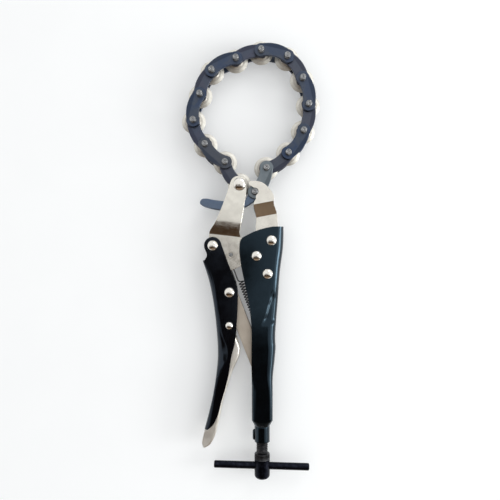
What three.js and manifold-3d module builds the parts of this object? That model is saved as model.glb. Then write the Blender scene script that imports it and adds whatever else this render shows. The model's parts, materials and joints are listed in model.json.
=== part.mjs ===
// Chain pipe cutter, millimetres. It lies flat: X across the handles, Y from the T-bar to the chain, Z up.
// Every place in the plane is measured from the jaw pivot, and every height from the plane halfway up the tool.
import * as THREE from "three";
import { mergeVertices } from "three/addons/utils/BufferGeometryUtils.js";
import Module from "manifold-3d";

const wasm = await Module();
wasm.setup();

// Clearances
const gap = 0.3; // between the faces of neighbouring pieces
const pinPlay = 0.3; // between a pin and its hole, on the radius
const hookPlay = 0.5; // between the last chain pin and the hook, on the radius
const overrun = 3; // how far a cutting shape passes the face it cuts

// Numbers of sides
const pinSides = 12;
const rivetSides = 16;
const wheelSides = 16;
const screwSides = 16;
const arcSteps = 6;
const edgeSteps = 3;

// Chain
const pitch = 22.2;
const chainHeadings = [123.5, 138, 116.5, 75.5, 63.5, 26, 18, -13, -55, -77, -101, -124.5, -145.5, -115.5];
const linkEndRadius = 5.8;
const linkOuterBow = 2.1;
const linkInnerBow = 3.1;
const linkPlate = 2.4;
const chainPinRadius = 2.5;
const bushWall = 0.9;
const chainPinProud = 0.7;

// Cutting wheels
const wheelRadius = 10;
const wheelHubRadius = 5.6;
const wheelShoulderRadius = 7.2;
const wheelHubHalf = 2.7;
const wheelShoulderHalf = 1.5;

// Sheets
const jawPlate = 2.6;
const bodySheet = 2;
const leverSheet = 2;
const releaseSheet = 1.6;

// Rivets
const rivetShankRadius = 2.7;
const rivetHeadRadius = 4.4;
const anchorHeadRadius = 5.3;
const releaseShankRadius = 2;
const releaseHeadRadius = 3.2;
const releaseHeadHeight = 2.4;
const spacerWall = 1.5;

// Movable jaw, from the jaw pivot
const anchorAcross = -14;
const anchorAlong = 59.5;
const leverPivotAcross = -36.3;
const leverPivotAlong = 8.6;
const jawNoseRadius = 6.8;
const jawNoseShift = 1;
const jawBossRadius = 9;
const jawLugRadius = 6.6;
const movableJogRun = 12;
const movableJogTilt = -6.5;
const springPinAcross = -21.4;
const springPinAlong = 0.9;
const springPinRadius = 1.4;

// Fixed jaw, from the jaw pivot
const hookWidth = 15.8;
const shankWidth = 18;
const fixedJogRun = 10.7;
const fixedJogTilt = 10.8;
const upperRivetAcross = 12.3;
const upperRivetAlong = 12.9;
const lowerRivetAcross = 9.1;
const lowerRivetAlong = -14.8;
const fixedJawFootRadius = 6.2;

// Lever, from its own pivot on the movable jaw
const leverLength = 151.7;
const leverReach = 20.8;
const leverLugRadius = 7.2;
const leverRound = 4;
const toggleRivetAcross = 13.9;
const toggleRivetAlong = -38.8;
const releaseRivetAcross = 13.7;
const releaseRivetAlong = -66.3;

// Toggle link
const toggleLength = 74.7;
const toggleHalfWidth = 6;
const toggleHalfThickness = 2.7;

// Release lever, from its rivet
const releaseLength = 101.9;
const releaseReach = 22.5;
const releaseBossRadius = 5.2;

// Body, from the jaw pivot
const bodyLength = 156.5;
const tubeLength = 137.1;
const tubeHalfWidth = 8.7;
const tubeRound = 5;
const backReach = 22.4;
const backRound = 5.4;
const neckRadius = 6.4;
const slotEnd = 108;
const taperLength = 5.8;
const stakeRadius = 1.6;
const stakeLength = 6;

// Adjusting screw and T-bar
const screwAcross = 4.85;
const threadRadius = 4.85;
const threadDepth = 0.8;
const threadPitch = 1.5;
const threadTurns = 16;
const threadShowing = 9.6;
const noseRadius = 3.6;
const noseLength = 4;
const noseRound = 1.2;
const noseStemRadius = 2;
const noseStemLength = 6;
const togglePlay = 2.2;
const hubRadius = 6.45;
const hubLength = 21.2;
const hubCollarLength = 5.4;
const hubGroove = 0.5;
const hubRound = 3.4;
const barHoleDrop = 10.5;
const barRadius = 3;
const barLength = 80;
const barPlay = 0.4;
const barTilt = -1.8;
const barOffset = -0.5;
const barChamfer = 0.6;

// Tail lever, from the last chain pin
const tailReach = 45.6;
const tailDepth = 15.4;
const tailBushWall = 0.7;
const tailTipLength = 9;

// Return spring
const wireRadius = 0.5;
const coilPitch = 2.3;
const springAnchorAcross = 4.2;
const springAnchorAlong = -66.4;
const springAnchorRadius = 1.4;
const coilStart = 21;
const coilEndRoom = 10;
const coilLead = 3;
const wireLead = 1;
const wireSides = 5;
const coilSteps = 8;

// Heights of the layers above the middle plane, each a gap above the one below
const innerLow = wheelHubHalf + gap;
const innerHigh = innerLow + linkPlate;
const outerLow = innerHigh + gap;
const outerHigh = outerLow + linkPlate;
const jawUpperHigh = outerLow + jawPlate;
const hookLow = outerHigh + gap;
const hookHigh = hookLow + jawPlate;
const jawLowerHigh = innerLow + jawPlate;
const cheekLow = jawLowerHigh + gap;
const cheekHigh = cheekLow + bodySheet;
const leverCheekHigh = cheekLow + leverSheet;
const toolHalf = hookHigh + chainPinProud;
const bushBore = chainPinRadius + pinPlay;
const bushRadius = bushBore + bushWall;

// Places that follow from the sizes
const jawPivot = new THREE.Vector2(0, 0);
const anchor = new THREE.Vector2(anchorAcross, anchorAlong);
const leverPivot = new THREE.Vector2(leverPivotAcross, leverPivotAlong);
const toggleRivet = leverPivot.clone().add(new THREE.Vector2(toggleRivetAcross, toggleRivetAlong));
const releaseRivet = leverPivot.clone().add(new THREE.Vector2(releaseRivetAcross, releaseRivetAlong));
const springPin = new THREE.Vector2(springPinAcross, springPinAlong);
const springAnchor = new THREE.Vector2(springAnchorAcross, springAnchorAlong);
const upperRivet = new THREE.Vector2(upperRivetAcross, upperRivetAlong);
const lowerRivet = new THREE.Vector2(lowerRivetAcross, lowerRivetAlong);
const toggleDrop = Math.sqrt(toggleLength ** 2 - (screwAcross - toggleRivet.x) ** 2);
const toggleEnd = new THREE.Vector2(screwAcross, toggleRivet.y - toggleDrop);
const chainPins = [anchor];
chainHeadings.forEach((heading, i) => {
  const turn = THREE.MathUtils.degToRad(heading);
  chainPins.push(chainPins[i].clone().add(new THREE.Vector2(Math.cos(turn), Math.sin(turn)).multiplyScalar(pitch)));
});
const hookPin = chainPins[chainPins.length - 1];

// Solids

function solidOf(geometry) {
  const bare = geometry.clone();
  bare.deleteAttribute("normal");
  bare.deleteAttribute("uv");
  const merged = mergeVertices(bare);
  const corners = merged.attributes.position.array;
  const index = [];
  for (let i = 0; i < merged.index.count; i += 3) {
    const [a, b, c] = [0, 1, 2].map((j) => merged.index.getX(i + j));
    if (a !== b && b !== c && c !== a) index.push(a, b, c);
  }
  const point = (i) => new THREE.Vector3(corners[3 * i], corners[3 * i + 1], corners[3 * i + 2]);
  let volume = 0;
  for (let i = 0; i < index.length; i += 3) {
    volume += point(index[i]).dot(point(index[i + 1]).cross(point(index[i + 2])));
  }
  if (volume < 0) index.reverse();
  const shape = { numProp: 3, vertProperties: new Float32Array(corners), triVerts: new Uint32Array(index) };
  return new wasm.Manifold(new wasm.Mesh(shape));
}

function geometryOf(solid) {
  const mesh = solid.getMesh();
  const geometry = new THREE.BufferGeometry();
  geometry.setAttribute("position", new THREE.BufferAttribute(mesh.vertProperties, 3));
  geometry.setIndex(new THREE.BufferAttribute(mesh.triVerts, 1));
  const flat = geometry.toNonIndexed();
  flat.computeVertexNormals();
  return flat;
}

function join(...solids) {
  return solids.reduce((whole, piece) => whole.add(piece));
}

function cut(solid, ...cutters) {
  return cutters.reduce((left, cutter) => left.subtract(cutter), solid);
}

// An outline in the plane, given height between two levels
function prism(points, low, high) {
  const geometry = new THREE.ExtrudeGeometry(new THREE.Shape(points), { depth: high - low, bevelEnabled: false });
  geometry.translate(0, 0, low);
  return solidOf(geometry);
}

// A round rod standing across the plane
function rod(centre, radius, low, high, sides = pinSides) {
  const geometry = new THREE.CylinderGeometry(radius, radius, high - low, sides);
  geometry.rotateX(Math.PI / 2);
  geometry.translate(centre.x, centre.y, (low + high) / 2);
  return solidOf(geometry);
}

// A turned piece, from a profile of (radius, height), with its axis across the plane
function turned(profile, sides) {
  const geometry = new THREE.LatheGeometry(profile.map(([r, h]) => new THREE.Vector2(r, h)), sides);
  geometry.rotateX(Math.PI / 2);
  return solidOf(geometry);
}

// A turned piece whose axis is the screw's
function turnedAlong(profile, sides) {
  return solidOf(new THREE.LatheGeometry(profile.map(([r, h]) => new THREE.Vector2(r, h)), sides));
}

function arc(centre, radius, from, to, steps = arcSteps) {
  return Array.from({ length: steps + 1 }, (unused, i) => {
    const turn = THREE.MathUtils.degToRad(from + ((to - from) * i) / steps);
    return new THREE.Vector2(centre.x + radius * Math.cos(turn), centre.y + radius * Math.sin(turn));
  });
}

// A closed ring with rounded corners, across the length of a folded channel
function channelRing({ along, left, right, half, leftRound, rightRound }) {
  const corners = [
    [right - rightRound, half - rightRound, rightRound, 0],
    [left + leftRound, half - leftRound, leftRound, 90],
    [left + leftRound, leftRound - half, leftRound, 180],
    [right - rightRound, rightRound - half, rightRound, 270],
  ];
  return corners.flatMap(([x, z, radius, from]) =>
    arc(new THREE.Vector2(x, z), radius, from, from + 90, edgeSteps).map((p) => new THREE.Vector3(p.x, along, p.y)),
  );
}

// A solid through a list of rings, closed at both ends
function loft(rings) {
  const count = rings[0].length;
  const corners = rings.flat();
  const index = [];
  for (let i = 0; i + 1 < rings.length; i++) {
    for (let j = 0; j < count; j++) {
      const [a, b] = [i * count + j, i * count + ((j + 1) % count)];
      index.push(a, b, b + count, a, b + count, a + count);
    }
  }
  for (const [first, turnOver] of [[0, false], [corners.length - count, true]]) {
    for (let j = 1; j + 1 < count; j++) {
      index.push(first, first + (turnOver ? j : j + 1), first + (turnOver ? j + 1 : j));
    }
  }
  const geometry = new THREE.BufferGeometry();
  geometry.setAttribute("position", new THREE.Float32BufferAttribute(corners.flatMap((p) => p.toArray()), 3));
  geometry.setIndex(index);
  return solidOf(geometry);
}

// A sheet bent down across two parallel lines, high before the first and low after the second
function joggledSheet(topPoint, tilt, run, upper, lower, length) {
  const line = new THREE.Vector2(1, 0).rotateAround(jawPivot, THREE.MathUtils.degToRad(tilt));
  const profile = [
    [-length, upper[1]], [0, upper[1]], [run, lower[1]], [length, lower[1]],
    [length, lower[0]], [run, lower[0]], [0, upper[0]], [-length, upper[0]],
  ];
  const shape = new THREE.Shape(profile.map(([s, z]) => new THREE.Vector2(s, z)));
  const geometry = new THREE.ExtrudeGeometry(shape, { depth: 2 * length, bevelEnabled: false });
  geometry.translate(0, 0, -length);
  const down = new THREE.Vector3(line.y, -line.x, 0);
  const up = new THREE.Vector3(0, 0, 1);
  geometry.applyMatrix4(new THREE.Matrix4().makeBasis(down, up, down.clone().cross(up)));
  geometry.translate(topPoint.x, topPoint.y, 0);
  return solidOf(geometry);
}

function mirrored(solid) {
  return solid.mirror([0, 0, 1]);
}

// Finishes
const steel = (color, roughness) => new THREE.MeshStandardMaterial({ color, roughness, metalness: 1 });
const nickel = () => steel(0xe3e0d6, 0.28);
const bluedSteel = () => steel(0x4a5263, 0.42);
const groundSteel = () => steel(0xd8d2c6, 0.4);
const paint = () => new THREE.MeshStandardMaterial({ color: 0x0c1018, roughness: 0.25, metalness: 0.2 });
const blackOxide = () => steel(0x17181f, 0.45);
const plainSteel = () => steel(0xafa392, 0.4);

const tool = new THREE.Group();

function place(name, solid, material, at = jawPivot, turn = 0) {
  const mesh = new THREE.Mesh(geometryOf(solid), material);
  mesh.name = name;
  mesh.position.set(at.x, at.y, 0);
  mesh.rotation.z = THREE.MathUtils.degToRad(turn);
  tool.add(mesh);
}

const number = (i) => String(i).padStart(2, "0");

// Chain links: pins at zero and one pitch along X, bowed outwards towards +Y

function linkOutline() {
  const start = new THREE.Vector2(0, 0);
  const end = new THREE.Vector2(pitch, 0);
  const side = (sign, bow, forward) =>
    Array.from({ length: edgeSteps - 1 }, (unused, i) => {
      const share = (i + 1) / edgeSteps;
      const x = pitch * (forward ? share : 1 - share);
      return new THREE.Vector2(x, sign * linkEndRadius + bow * 4 * share * (1 - share));
    });
  return [
    ...arc(start, linkEndRadius, 90, 270),
    ...side(-1, linkInnerBow, true),
    ...arc(end, linkEndRadius, -90, 90),
    ...side(1, linkOuterBow, false),
  ];
}

function linkPlates(low, high) {
  const front = prism(linkOutline(), low, high);
  return join(front, mirrored(front));
}

const linkEnds = [new THREE.Vector2(0, 0), new THREE.Vector2(pitch, 0)];

function innerLink() {
  const bushes = linkEnds.map((end) => rod(end, bushRadius, -innerHigh, innerHigh));
  const bores = linkEnds.map((end) => rod(end, bushBore, -innerHigh - overrun, innerHigh + overrun));
  return cut(join(linkPlates(innerLow, innerHigh), ...bushes), ...bores);
}

function outerLink() {
  const pins = linkEnds.map((end) => rod(end, chainPinRadius, -toolHalf, toolHalf));
  return join(linkPlates(outerLow, outerHigh), ...pins);
}

function cuttingWheel() {
  const bore = bushRadius + pinPlay;
  return turned(
    [
      [bore, -wheelHubHalf], [wheelHubRadius, -wheelHubHalf], [wheelShoulderRadius, -wheelShoulderHalf],
      [wheelRadius, 0], [wheelShoulderRadius, wheelShoulderHalf], [wheelHubRadius, wheelHubHalf],
      [bore, wheelHubHalf], [bore, -wheelHubHalf],
    ],
    wheelSides,
  );
}

chainHeadings.forEach((heading, i) => {
  const inner = i % 2 === 0;
  const name = `${inner ? "inner" : "outer"}_link_${number(i + 1)}`;
  place(name, inner ? innerLink() : outerLink(), bluedSteel(), chainPins[i], heading);
  place(`cutting_wheel_${number(i + 1)}`, cuttingWheel(), groundSteel(), chainPins[i], heading);
});

// Tail lever: two finger plates on a bush, joined at the tip. Shares of its reach and depth, from its pin.
const tailUpperShares = [[0, 0.377], [-0.18, -0.42], [-0.5, -0.5], [-0.75, -0.42], [-0.9, -0.35], [-0.96, -0.37]];
const tailLowerShares = [[-1, -0.52], [-1, -0.62], [-0.95, -0.74], [-0.85, -0.84], [-0.63, -0.96], [-0.45, -1],
  [-0.28, -0.94], [-0.15, -0.76]];

function tailLever() {
  const at = ([across, along]) => new THREE.Vector2(across * tailReach, along * tailDepth);
  const outline = [
    ...arc(jawPivot, linkEndRadius, -60, 135),
    ...tailUpperShares.slice(1).map(at),
    ...tailLowerShares.map(at),
  ];
  const plate = prism(outline, innerLow, innerHigh);
  const bush = rod(jawPivot, bushBore + tailBushWall, -innerHigh, innerHigh);
  const tipSide = new THREE.Vector2(-tailReach + tailTipLength, 0);
  const tipBox = [
    new THREE.Vector2(-tailReach - overrun, overrun), new THREE.Vector2(-tailReach - overrun, -tailDepth - overrun),
    new THREE.Vector2(tipSide.x, -tailDepth - overrun), new THREE.Vector2(tipSide.x, overrun),
  ];
  const tip = prism(outline, -innerHigh, innerHigh).intersect(prism(tipBox, -innerHigh, innerHigh));
  const bore = rod(jawPivot, bushBore, -innerHigh - overrun, innerHigh + overrun);
  return cut(join(plate, mirrored(plate), tip, bush), bore);
}

place("tail_lever", tailLever(), bluedSteel(), hookPin);

// Movable jaw. Its edges follow the line from the jaw pivot to the chain anchor: shares along that line, and
// shares of the lever's arm to its left.
const jawArm = leverPivot.length();
const movableLeftShares = [[0.87, 0.375], [0.57, 0.735], [0.45, 0.915]];
const movableBottomShares = [[-0.11, 0.66], [-0.09, 0.37]];
const movableRightShares = [[0.3, 0.247], [0.54, 0.12], [0.69, 0.02], [0.865, -0.098]];
const movableJogShare = [0.545, 0.43];

function jawPoint([along, aside]) {
  const side = new THREE.Vector2(-anchor.y, anchor.x).normalize().multiplyScalar(aside * jawArm);
  return anchor.clone().multiplyScalar(along).add(side);
}

function movableJawPlate() {
  const nose = new THREE.Vector2(anchor.x - jawNoseShift, anchor.y);
  const outline = [
    ...arc(nose, jawNoseRadius, -5, 160),
    ...movableLeftShares.map(jawPoint),
    ...arc(leverPivot, jawLugRadius, 120, 285),
    ...movableBottomShares.map(jawPoint),
    ...arc(jawPivot, jawBossRadius, 235, 470, 2 * arcSteps),
    ...movableRightShares.map(jawPoint),
  ];
  const sheet = joggledSheet(
    jawPoint(movableJogShare), movableJogTilt, movableJogRun,
    [outerLow, jawUpperHigh], [innerLow, jawLowerHigh], 2 * anchor.length(),
  );
  const hole = (at, radius) => rod(at, radius + pinPlay, innerLow - overrun, jawUpperHigh + overrun);
  return cut(
    prism(outline, innerLow - overrun, jawUpperHigh + overrun).intersect(sheet),
    hole(jawPivot, rivetShankRadius), hole(leverPivot, rivetShankRadius),
    hole(anchor, chainPinRadius), hole(springPin, springPinRadius),
  );
}

place("movable_jaw_front", movableJawPlate(), nickel());
place("movable_jaw_rear", mirrored(movableJawPlate()), nickel());

// Fixed jaw. Its hook is set out from the last chain pin in shares of the hook's width, and its shank in shares
// along the line from the jaw pivot to that pin and shares of the shank's width across.
const hookTopShares = [[1, -0.33], [0.7, 0.21], [0.46, 0.42], [0.16, 0.53], [-0.05, 0.55], [-0.26, 0.54],
  [-0.31, 0.48], [-0.29, 0.33]];
const hookLipShares = [[0.05, -0.24], [0.05, -0.39], [-0.04, -0.56]];
const shankLeftShares = [[0.6, 0.04], [0.41, 0], [0.26, 0.05]];
const shankRightShares = [[0.25, 0.99], [0.48, 1.02], [0.66, 1], [0.85, 0.85]];
const fixedJogShare = [0.828, 0.42];

function hookPoint([across, along]) {
  return hookPin.clone().add(new THREE.Vector2(across, along).multiplyScalar(hookWidth));
}

function shankPoint([along, across]) {
  return hookPin.clone().multiplyScalar(along).add(new THREE.Vector2(across * shankWidth, 0));
}

function fixedJawPlate() {
  const notch = chainPinRadius + hookPlay;
  const bossClear = jawBossRadius + 2 * gap;
  const outline = [
    ...shankRightShares.map(shankPoint),
    ...hookTopShares.map(hookPoint),
    ...arc(hookPin, notch, 100, -50),
    ...hookLipShares.map(hookPoint),
    ...shankLeftShares.map(shankPoint),
    ...arc(jawPivot, bossClear, 75, -60, arcSteps),
    ...arc(lowerRivet, fixedJawFootRadius, 200, 360),
  ];
  const sheet = joggledSheet(
    shankPoint(fixedJogShare), fixedJogTilt, fixedJogRun,
    [hookLow, hookHigh], [innerLow, jawLowerHigh], 2 * hookPin.length(),
  );
  const hole = (at) => rod(at, rivetShankRadius + pinPlay, innerLow - overrun, hookHigh + overrun);
  return cut(
    prism(outline, innerLow - overrun, hookHigh + overrun).intersect(sheet), hole(upperRivet), hole(lowerRivet),
  );
}

place("fixed_jaw_front", fixedJawPlate(), nickel());
place("fixed_jaw_rear", mirrored(fixedJawPlate()), nickel());

// Rivets with a round head at both ends

const domeShares = [0.35, 0.7];

function domedRivet(shankRadius, headRadius, seat, top) {
  const height = top - seat;
  const dome = domeShares.map((share) => {
    const turn = (share * Math.PI) / 2;
    return [headRadius * Math.cos(turn), seat + height * Math.sin(turn)];
  });
  const upper = [[shankRadius, seat], [headRadius, seat], ...dome, [0, top]];
  const lower = upper.map(([r, h]) => [r, -h]).reverse();
  return turned([...lower, ...upper], rivetSides);
}

function placeRivet(name, at, seat) {
  place(name, domedRivet(rivetShankRadius, rivetHeadRadius, seat + gap, toolHalf), nickel(), at);
}

placeRivet("jaw_pivot_rivet", jawPivot, cheekHigh);
placeRivet("fixed_jaw_upper_rivet", upperRivet, cheekHigh);
placeRivet("fixed_jaw_lower_rivet", lowerRivet, cheekHigh);
placeRivet("lever_pivot_rivet", leverPivot, leverCheekHigh);
placeRivet("toggle_rivet", toggleRivet, leverCheekHigh);
place("chain_anchor_rivet", domedRivet(chainPinRadius, anchorHeadRadius, jawUpperHigh + gap, toolHalf), nickel(),
  anchor);
const releaseRivetTop = leverCheekHigh + gap + releaseHeadHeight;
place("release_rivet", domedRivet(releaseShankRadius, releaseHeadRadius, leverCheekHigh + gap, releaseRivetTop),
  nickel(), releaseRivet);

// Spacer sleeves that hold the front and rear plates apart

function spacer() {
  const bore = rivetShankRadius + pinPlay;
  const half = innerLow - gap;
  return turned([[bore, -half], [bore + spacerWall, -half], [bore + spacerWall, half], [bore, half], [bore, -half]],
    pinSides);
}

place("jaw_pivot_spacer", spacer(), plainSteel(), jawPivot);
place("fixed_jaw_upper_spacer", spacer(), plainSteel(), upperRivet);
place("fixed_jaw_lower_spacer", spacer(), plainSteel(), lowerRivet);
place("lever_pivot_spacer", spacer(), plainSteel(), leverPivot);
place("spring_pin", rod(jawPivot, springPinRadius, -jawLowerHigh, jawLowerHigh), plainSteel(), springPin);

// Body: a channel folded along its right edge, closed to a tube below the slot, with a round threaded neck.
// Shares of the tube's length below the jaw pivot (above is negative), and shares of the back's reach across.
const backShares = [[-0.3, 1], [-0.05, 1], [0.09, 0.885], [0.28, 0.8], [0.4, 0.742], [0.53, 0.708], [0.545, 0.725],
  [0.62, 0.692]];
const cheekShares = [[-0.178, 1.3], [-0.178, 0.78], [-0.164, 0.214], [-0.131, -0.295], [-0.1, -0.576],
  [-0.048, -0.634], [0.017, -0.607], [0.146, -0.464], [0.276, -0.295], [0.414, -0.196], [0.655, -0.188]];

function bodyStations(wall) {
  const open = -2 * backReach - wall;
  const station = (along, right, round) => ({
    along, left: open, right: right - wall, half: cheekHigh - wall, leftRound: round - wall, rightRound: round - wall,
  });
  const tube = (along) => ({
    ...station(along, screwAcross + tubeHalfWidth, tubeRound),
    left: screwAcross - tubeHalfWidth + wall,
  });
  return [
    ...backShares.map(([down, across]) => station(-down * tubeLength, across * backReach, backRound)),
    station(-slotEnd + overrun, screwAcross + tubeHalfWidth, tubeRound),
    tube(-slotEnd),
    tube(-tubeLength),
  ];
}

function bodyShell() {
  const neckStation = (along) => ({
    along, left: screwAcross - neckRadius, right: screwAcross + neckRadius,
    half: neckRadius, leftRound: neckRadius, rightRound: neckRadius,
  });
  const outer = loft([
    ...bodyStations(0), neckStation(-tubeLength - taperLength), neckStation(-bodyLength),
  ].map(channelRing));
  const cavity = loft(bodyStations(bodySheet).map(channelRing));
  const left = screwAcross - tubeHalfWidth;
  const cheek = prism(
    [
      ...cheekShares.map(([down, across]) => new THREE.Vector2(across * backReach, -down * tubeLength)),
      new THREE.Vector2(left, -slotEnd), new THREE.Vector2(left, -bodyLength - overrun),
      new THREE.Vector2(2 * backReach, -bodyLength - overrun),
    ],
    -cheekHigh - overrun, cheekHigh + overrun,
  );
  const threadBore = new THREE.CylinderGeometry(
    threadRadius + pinPlay, threadRadius + pinPlay, bodyLength - slotEnd, screwSides,
  );
  threadBore.translate(screwAcross, -(bodyLength + slotEnd) / 2 - overrun, 0);
  const stake = new THREE.CylinderGeometry(stakeRadius, stakeRadius, stakeLength, pinSides);
  stake.translate(screwAcross - neckRadius, -bodyLength + stakeLength, 0);
  const springBar = rod(springAnchor, springAnchorRadius, -cheekLow - bodySheet / 2, cheekLow + bodySheet / 2);
  const hole = (at) => rod(at, rivetShankRadius + pinPlay, -toolHalf, toolHalf);
  return cut(
    join(cut(outer.intersect(cheek), cavity), solidOf(stake), springBar),
    solidOf(threadBore), hole(jawPivot), hole(upperRivet), hole(lowerRivet),
  );
}

place("body_shell", bodyShell(), paint());

// Lever: a channel folded along its left edge, with a lug round its pivot. Shares of its length below the pivot,
// and shares of its reach across, from the pivot.
const leverBackShares = [[0.083, -0.4], [0.197, -0.154], [0.369, 0.072], [0.543, 0.178], [0.587, 0.188],
  [0.68, 0.154], [0.79, 0.048], [0.953, -0.226], [1.02, -0.36]];
const leverNotchShares = [[0.055, -0.23], [0.084, -0.39]];
const leverTipShares = [[1, -0.34], [1.006, -0.2], [0.988, -0.04], [0.94, 0.165]];
const leverRightShares = [[0.853, 0.346], [0.744, 0.572], [0.587, 0.779], [0.54, 0.87], [0.452, 0.942], [0.306, 1],
  [0.264, 1], [0.072, 0.55]];

const leverPassShare = 0.2;

function leverPoint([down, across]) {
  return new THREE.Vector2(across * leverReach, -down * leverLength);
}

function leverShell() {
  const stations = (wall) => {
    const open = { left: -2 * leverReach - wall, leftRound: leverRound - wall };
    const common = { right: 3 * leverReach, half: leverCheekHigh - wall, rightRound: leverRound - wall };
    const backTop = leverPoint(leverBackShares[0]).y;
    return [
      { ...common, ...open, along: leverReach },
      { ...common, ...open, along: backTop + gap },
      ...leverBackShares.map((share) => {
        const p = leverPoint(share);
        return { ...common, along: p.y, left: p.x + wall, leftRound: leverRound - wall };
      }),
    ];
  };
  const outer = loft(stations(0).map(channelRing));
  const cavity = loft(stations(leverSheet).map(channelRing));
  const backEdge = leverBackShares.slice(1, -1).map(([down, across]) => leverPoint([down, across - leverPassShare]));
  const outline = prism(
    [
      ...arc(jawPivot, leverLugRadius, 10, 200),
      ...leverNotchShares.map(leverPoint),
      ...backEdge,
      ...leverTipShares.map(leverPoint),
      ...leverRightShares.map(leverPoint),
    ],
    -leverCheekHigh - overrun, leverCheekHigh + overrun,
  );
  const hole = (across, along, radius) =>
    rod(new THREE.Vector2(across, along), radius + pinPlay, -toolHalf, toolHalf);
  return cut(
    outer.intersect(outline), cavity,
    hole(0, 0, rivetShankRadius), hole(toggleRivetAcross, toggleRivetAlong, rivetShankRadius),
    hole(releaseRivetAcross, releaseRivetAlong, releaseShankRadius),
  );
}

place("lever_shell", leverShell(), paint(), leverPivot);

// Toggle link, from its rivet towards the screw's nose along its own -Y

function toggleLink() {
  const end = new THREE.Vector2(0, -toggleLength);
  const outline = [...arc(jawPivot, toggleHalfWidth, 0, 180), ...arc(end, toggleHalfWidth, 180, 360)];
  return cut(
    prism(outline, -toggleHalfThickness, toggleHalfThickness),
    rod(jawPivot, rivetShankRadius + pinPlay, -toolHalf, toolHalf),
  );
}

const toggleTurn = THREE.MathUtils.radToDeg(Math.asin((screwAcross - toggleRivet.x) / toggleLength));
place("toggle_link", toggleLink(), plainSteel(), toggleRivet, toggleTurn);

// Release lever: a small channel inside the lever, folded along its right edge below the toggle link.
// Shares of its length below its rivet and of its reach across.
const releaseRightShares = [[0.064, 0.22], [0.2, 0.4], [0.395, 0.089], [0.65, -0.249], [0.694, -0.293],
  [0.818, -0.422], [0.894, -0.507], [0.956, -0.636], [1, -0.82]];
const releaseLeftShares = [[0.99, -1], [0.865, -0.93], [0.858, -0.8], [0.83, -0.73], [0.75, -0.63],
  [0.65, -0.52], [0.5, -0.36], [0.36, -0.28], [0.2, -0.22]];
const releaseWebTopShare = 0.1;
const releaseBeyondShares = [-0.2, 1.1];

function releasePoint([down, across]) {
  return new THREE.Vector2(across * releaseReach, -down * releaseLength);
}

function releaseLever() {
  const high = cheekLow - gap;
  const [above, below] = releaseBeyondShares;
  const outline = [
    ...arc(jawPivot, releaseBossRadius, 340, 200),
    ...releaseLeftShares.toReversed().map(releasePoint),
    ...releaseRightShares.toReversed().map(releasePoint),
  ];
  const inside = [
    releasePoint([above, -1]), releasePoint([above, 1]), releasePoint([releaseWebTopShare, 1]),
    ...releaseRightShares.slice(1).map((share) => releasePoint(share).sub(new THREE.Vector2(releaseSheet, 0))),
    releasePoint([below, -1]), releasePoint([below, -2]),
  ];
  return cut(
    prism(outline, -high, high), prism(inside, releaseSheet - high, high - releaseSheet),
    rod(jawPivot, releaseShankRadius + pinPlay, -toolHalf, toolHalf),
  );
}

place("release_lever", releaseLever(), nickel(), releaseRivet);

// Adjusting screw: thread, collar and hub with a cross hole, and the hardened nose that meets the toggle link
const noseTop = toggleEnd.y - toggleHalfWidth - togglePlay;
const screwTop = noseTop - noseLength - gap;
const hubTop = -bodyLength - threadShowing;
const barAlong = hubTop - barHoleDrop;
const screwAxis = new THREE.Vector2(screwAcross, 0);

function screwNose() {
  const low = noseTop - noseLength;
  return turnedAlong(
    [
      [0, low - noseStemLength], [noseStemRadius, low - noseStemLength], [noseStemRadius, low], [noseRadius, low],
      [noseRadius, noseTop - noseRound], [noseRadius - noseRound, noseTop], [0, noseTop],
    ],
    pinSides,
  );
}

function adjustingScrew() {
  const threadLow = hubTop + threadPitch / 2;
  const root = threadRadius - threadDepth;
  const thread = Array.from({ length: threadTurns }, (unused, i) => [
    [root, threadLow + i * threadPitch], [threadRadius, threadLow + (i + 0.5) * threadPitch],
  ]).flat();
  const collar = hubTop - hubCollarLength;
  const bottom = hubTop - hubLength;
  const roundShares = [[0.293, 0.707], [0.707, 0.293]];
  const body = turnedAlong(
    [
      [0, bottom], [hubRadius - hubRound, bottom],
      ...roundShares.map(([up, out]) => [hubRadius - hubRound * out, bottom + hubRound * up]),
      [hubRadius, bottom + hubRound], [hubRadius, collar - hubGroove], [hubRadius - hubGroove, collar],
      [hubRadius, collar + hubGroove], [hubRadius, hubTop - hubGroove], [hubRadius - hubGroove, hubTop],
      ...thread,
      [threadRadius, threadLow + threadTurns * threadPitch], [threadRadius, screwTop], [0, screwTop],
    ],
    screwSides,
  );
  const socket = new THREE.CylinderGeometry(
    noseStemRadius + pinPlay, noseStemRadius + pinPlay, noseStemLength + overrun, pinSides,
  );
  socket.translate(0, screwTop - noseStemLength / 2 + overrun / 2, 0);
  const cross = new THREE.CylinderGeometry(barRadius + barPlay, barRadius + barPlay, 4 * hubRadius, screwSides);
  cross.rotateZ(Math.PI / 2);
  cross.translate(0, barAlong, 0);
  return cut(body, solidOf(socket), solidOf(cross));
}

function tBar() {
  const half = barLength / 2;
  const profile = [
    [0, -half], [barRadius - barChamfer, -half], [barRadius, barChamfer - half],
    [barRadius, half - barChamfer], [barRadius - barChamfer, half], [0, half],
  ];
  const geometry = new THREE.LatheGeometry(profile.map(([r, h]) => new THREE.Vector2(r, h)), screwSides);
  geometry.rotateZ(-Math.PI / 2);
  return solidOf(geometry);
}

place("screw_nose", screwNose(), groundSteel(), screwAxis);
place("adjusting_screw", adjustingScrew(), blackOxide(), screwAxis);
place("t_bar", tBar(), blackOxide(), new THREE.Vector2(screwAcross + barOffset, barAlong), barTilt);

// Return spring: a hook round the jaw's pin, a straight lead, the coils and a hook round the body's bar

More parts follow.
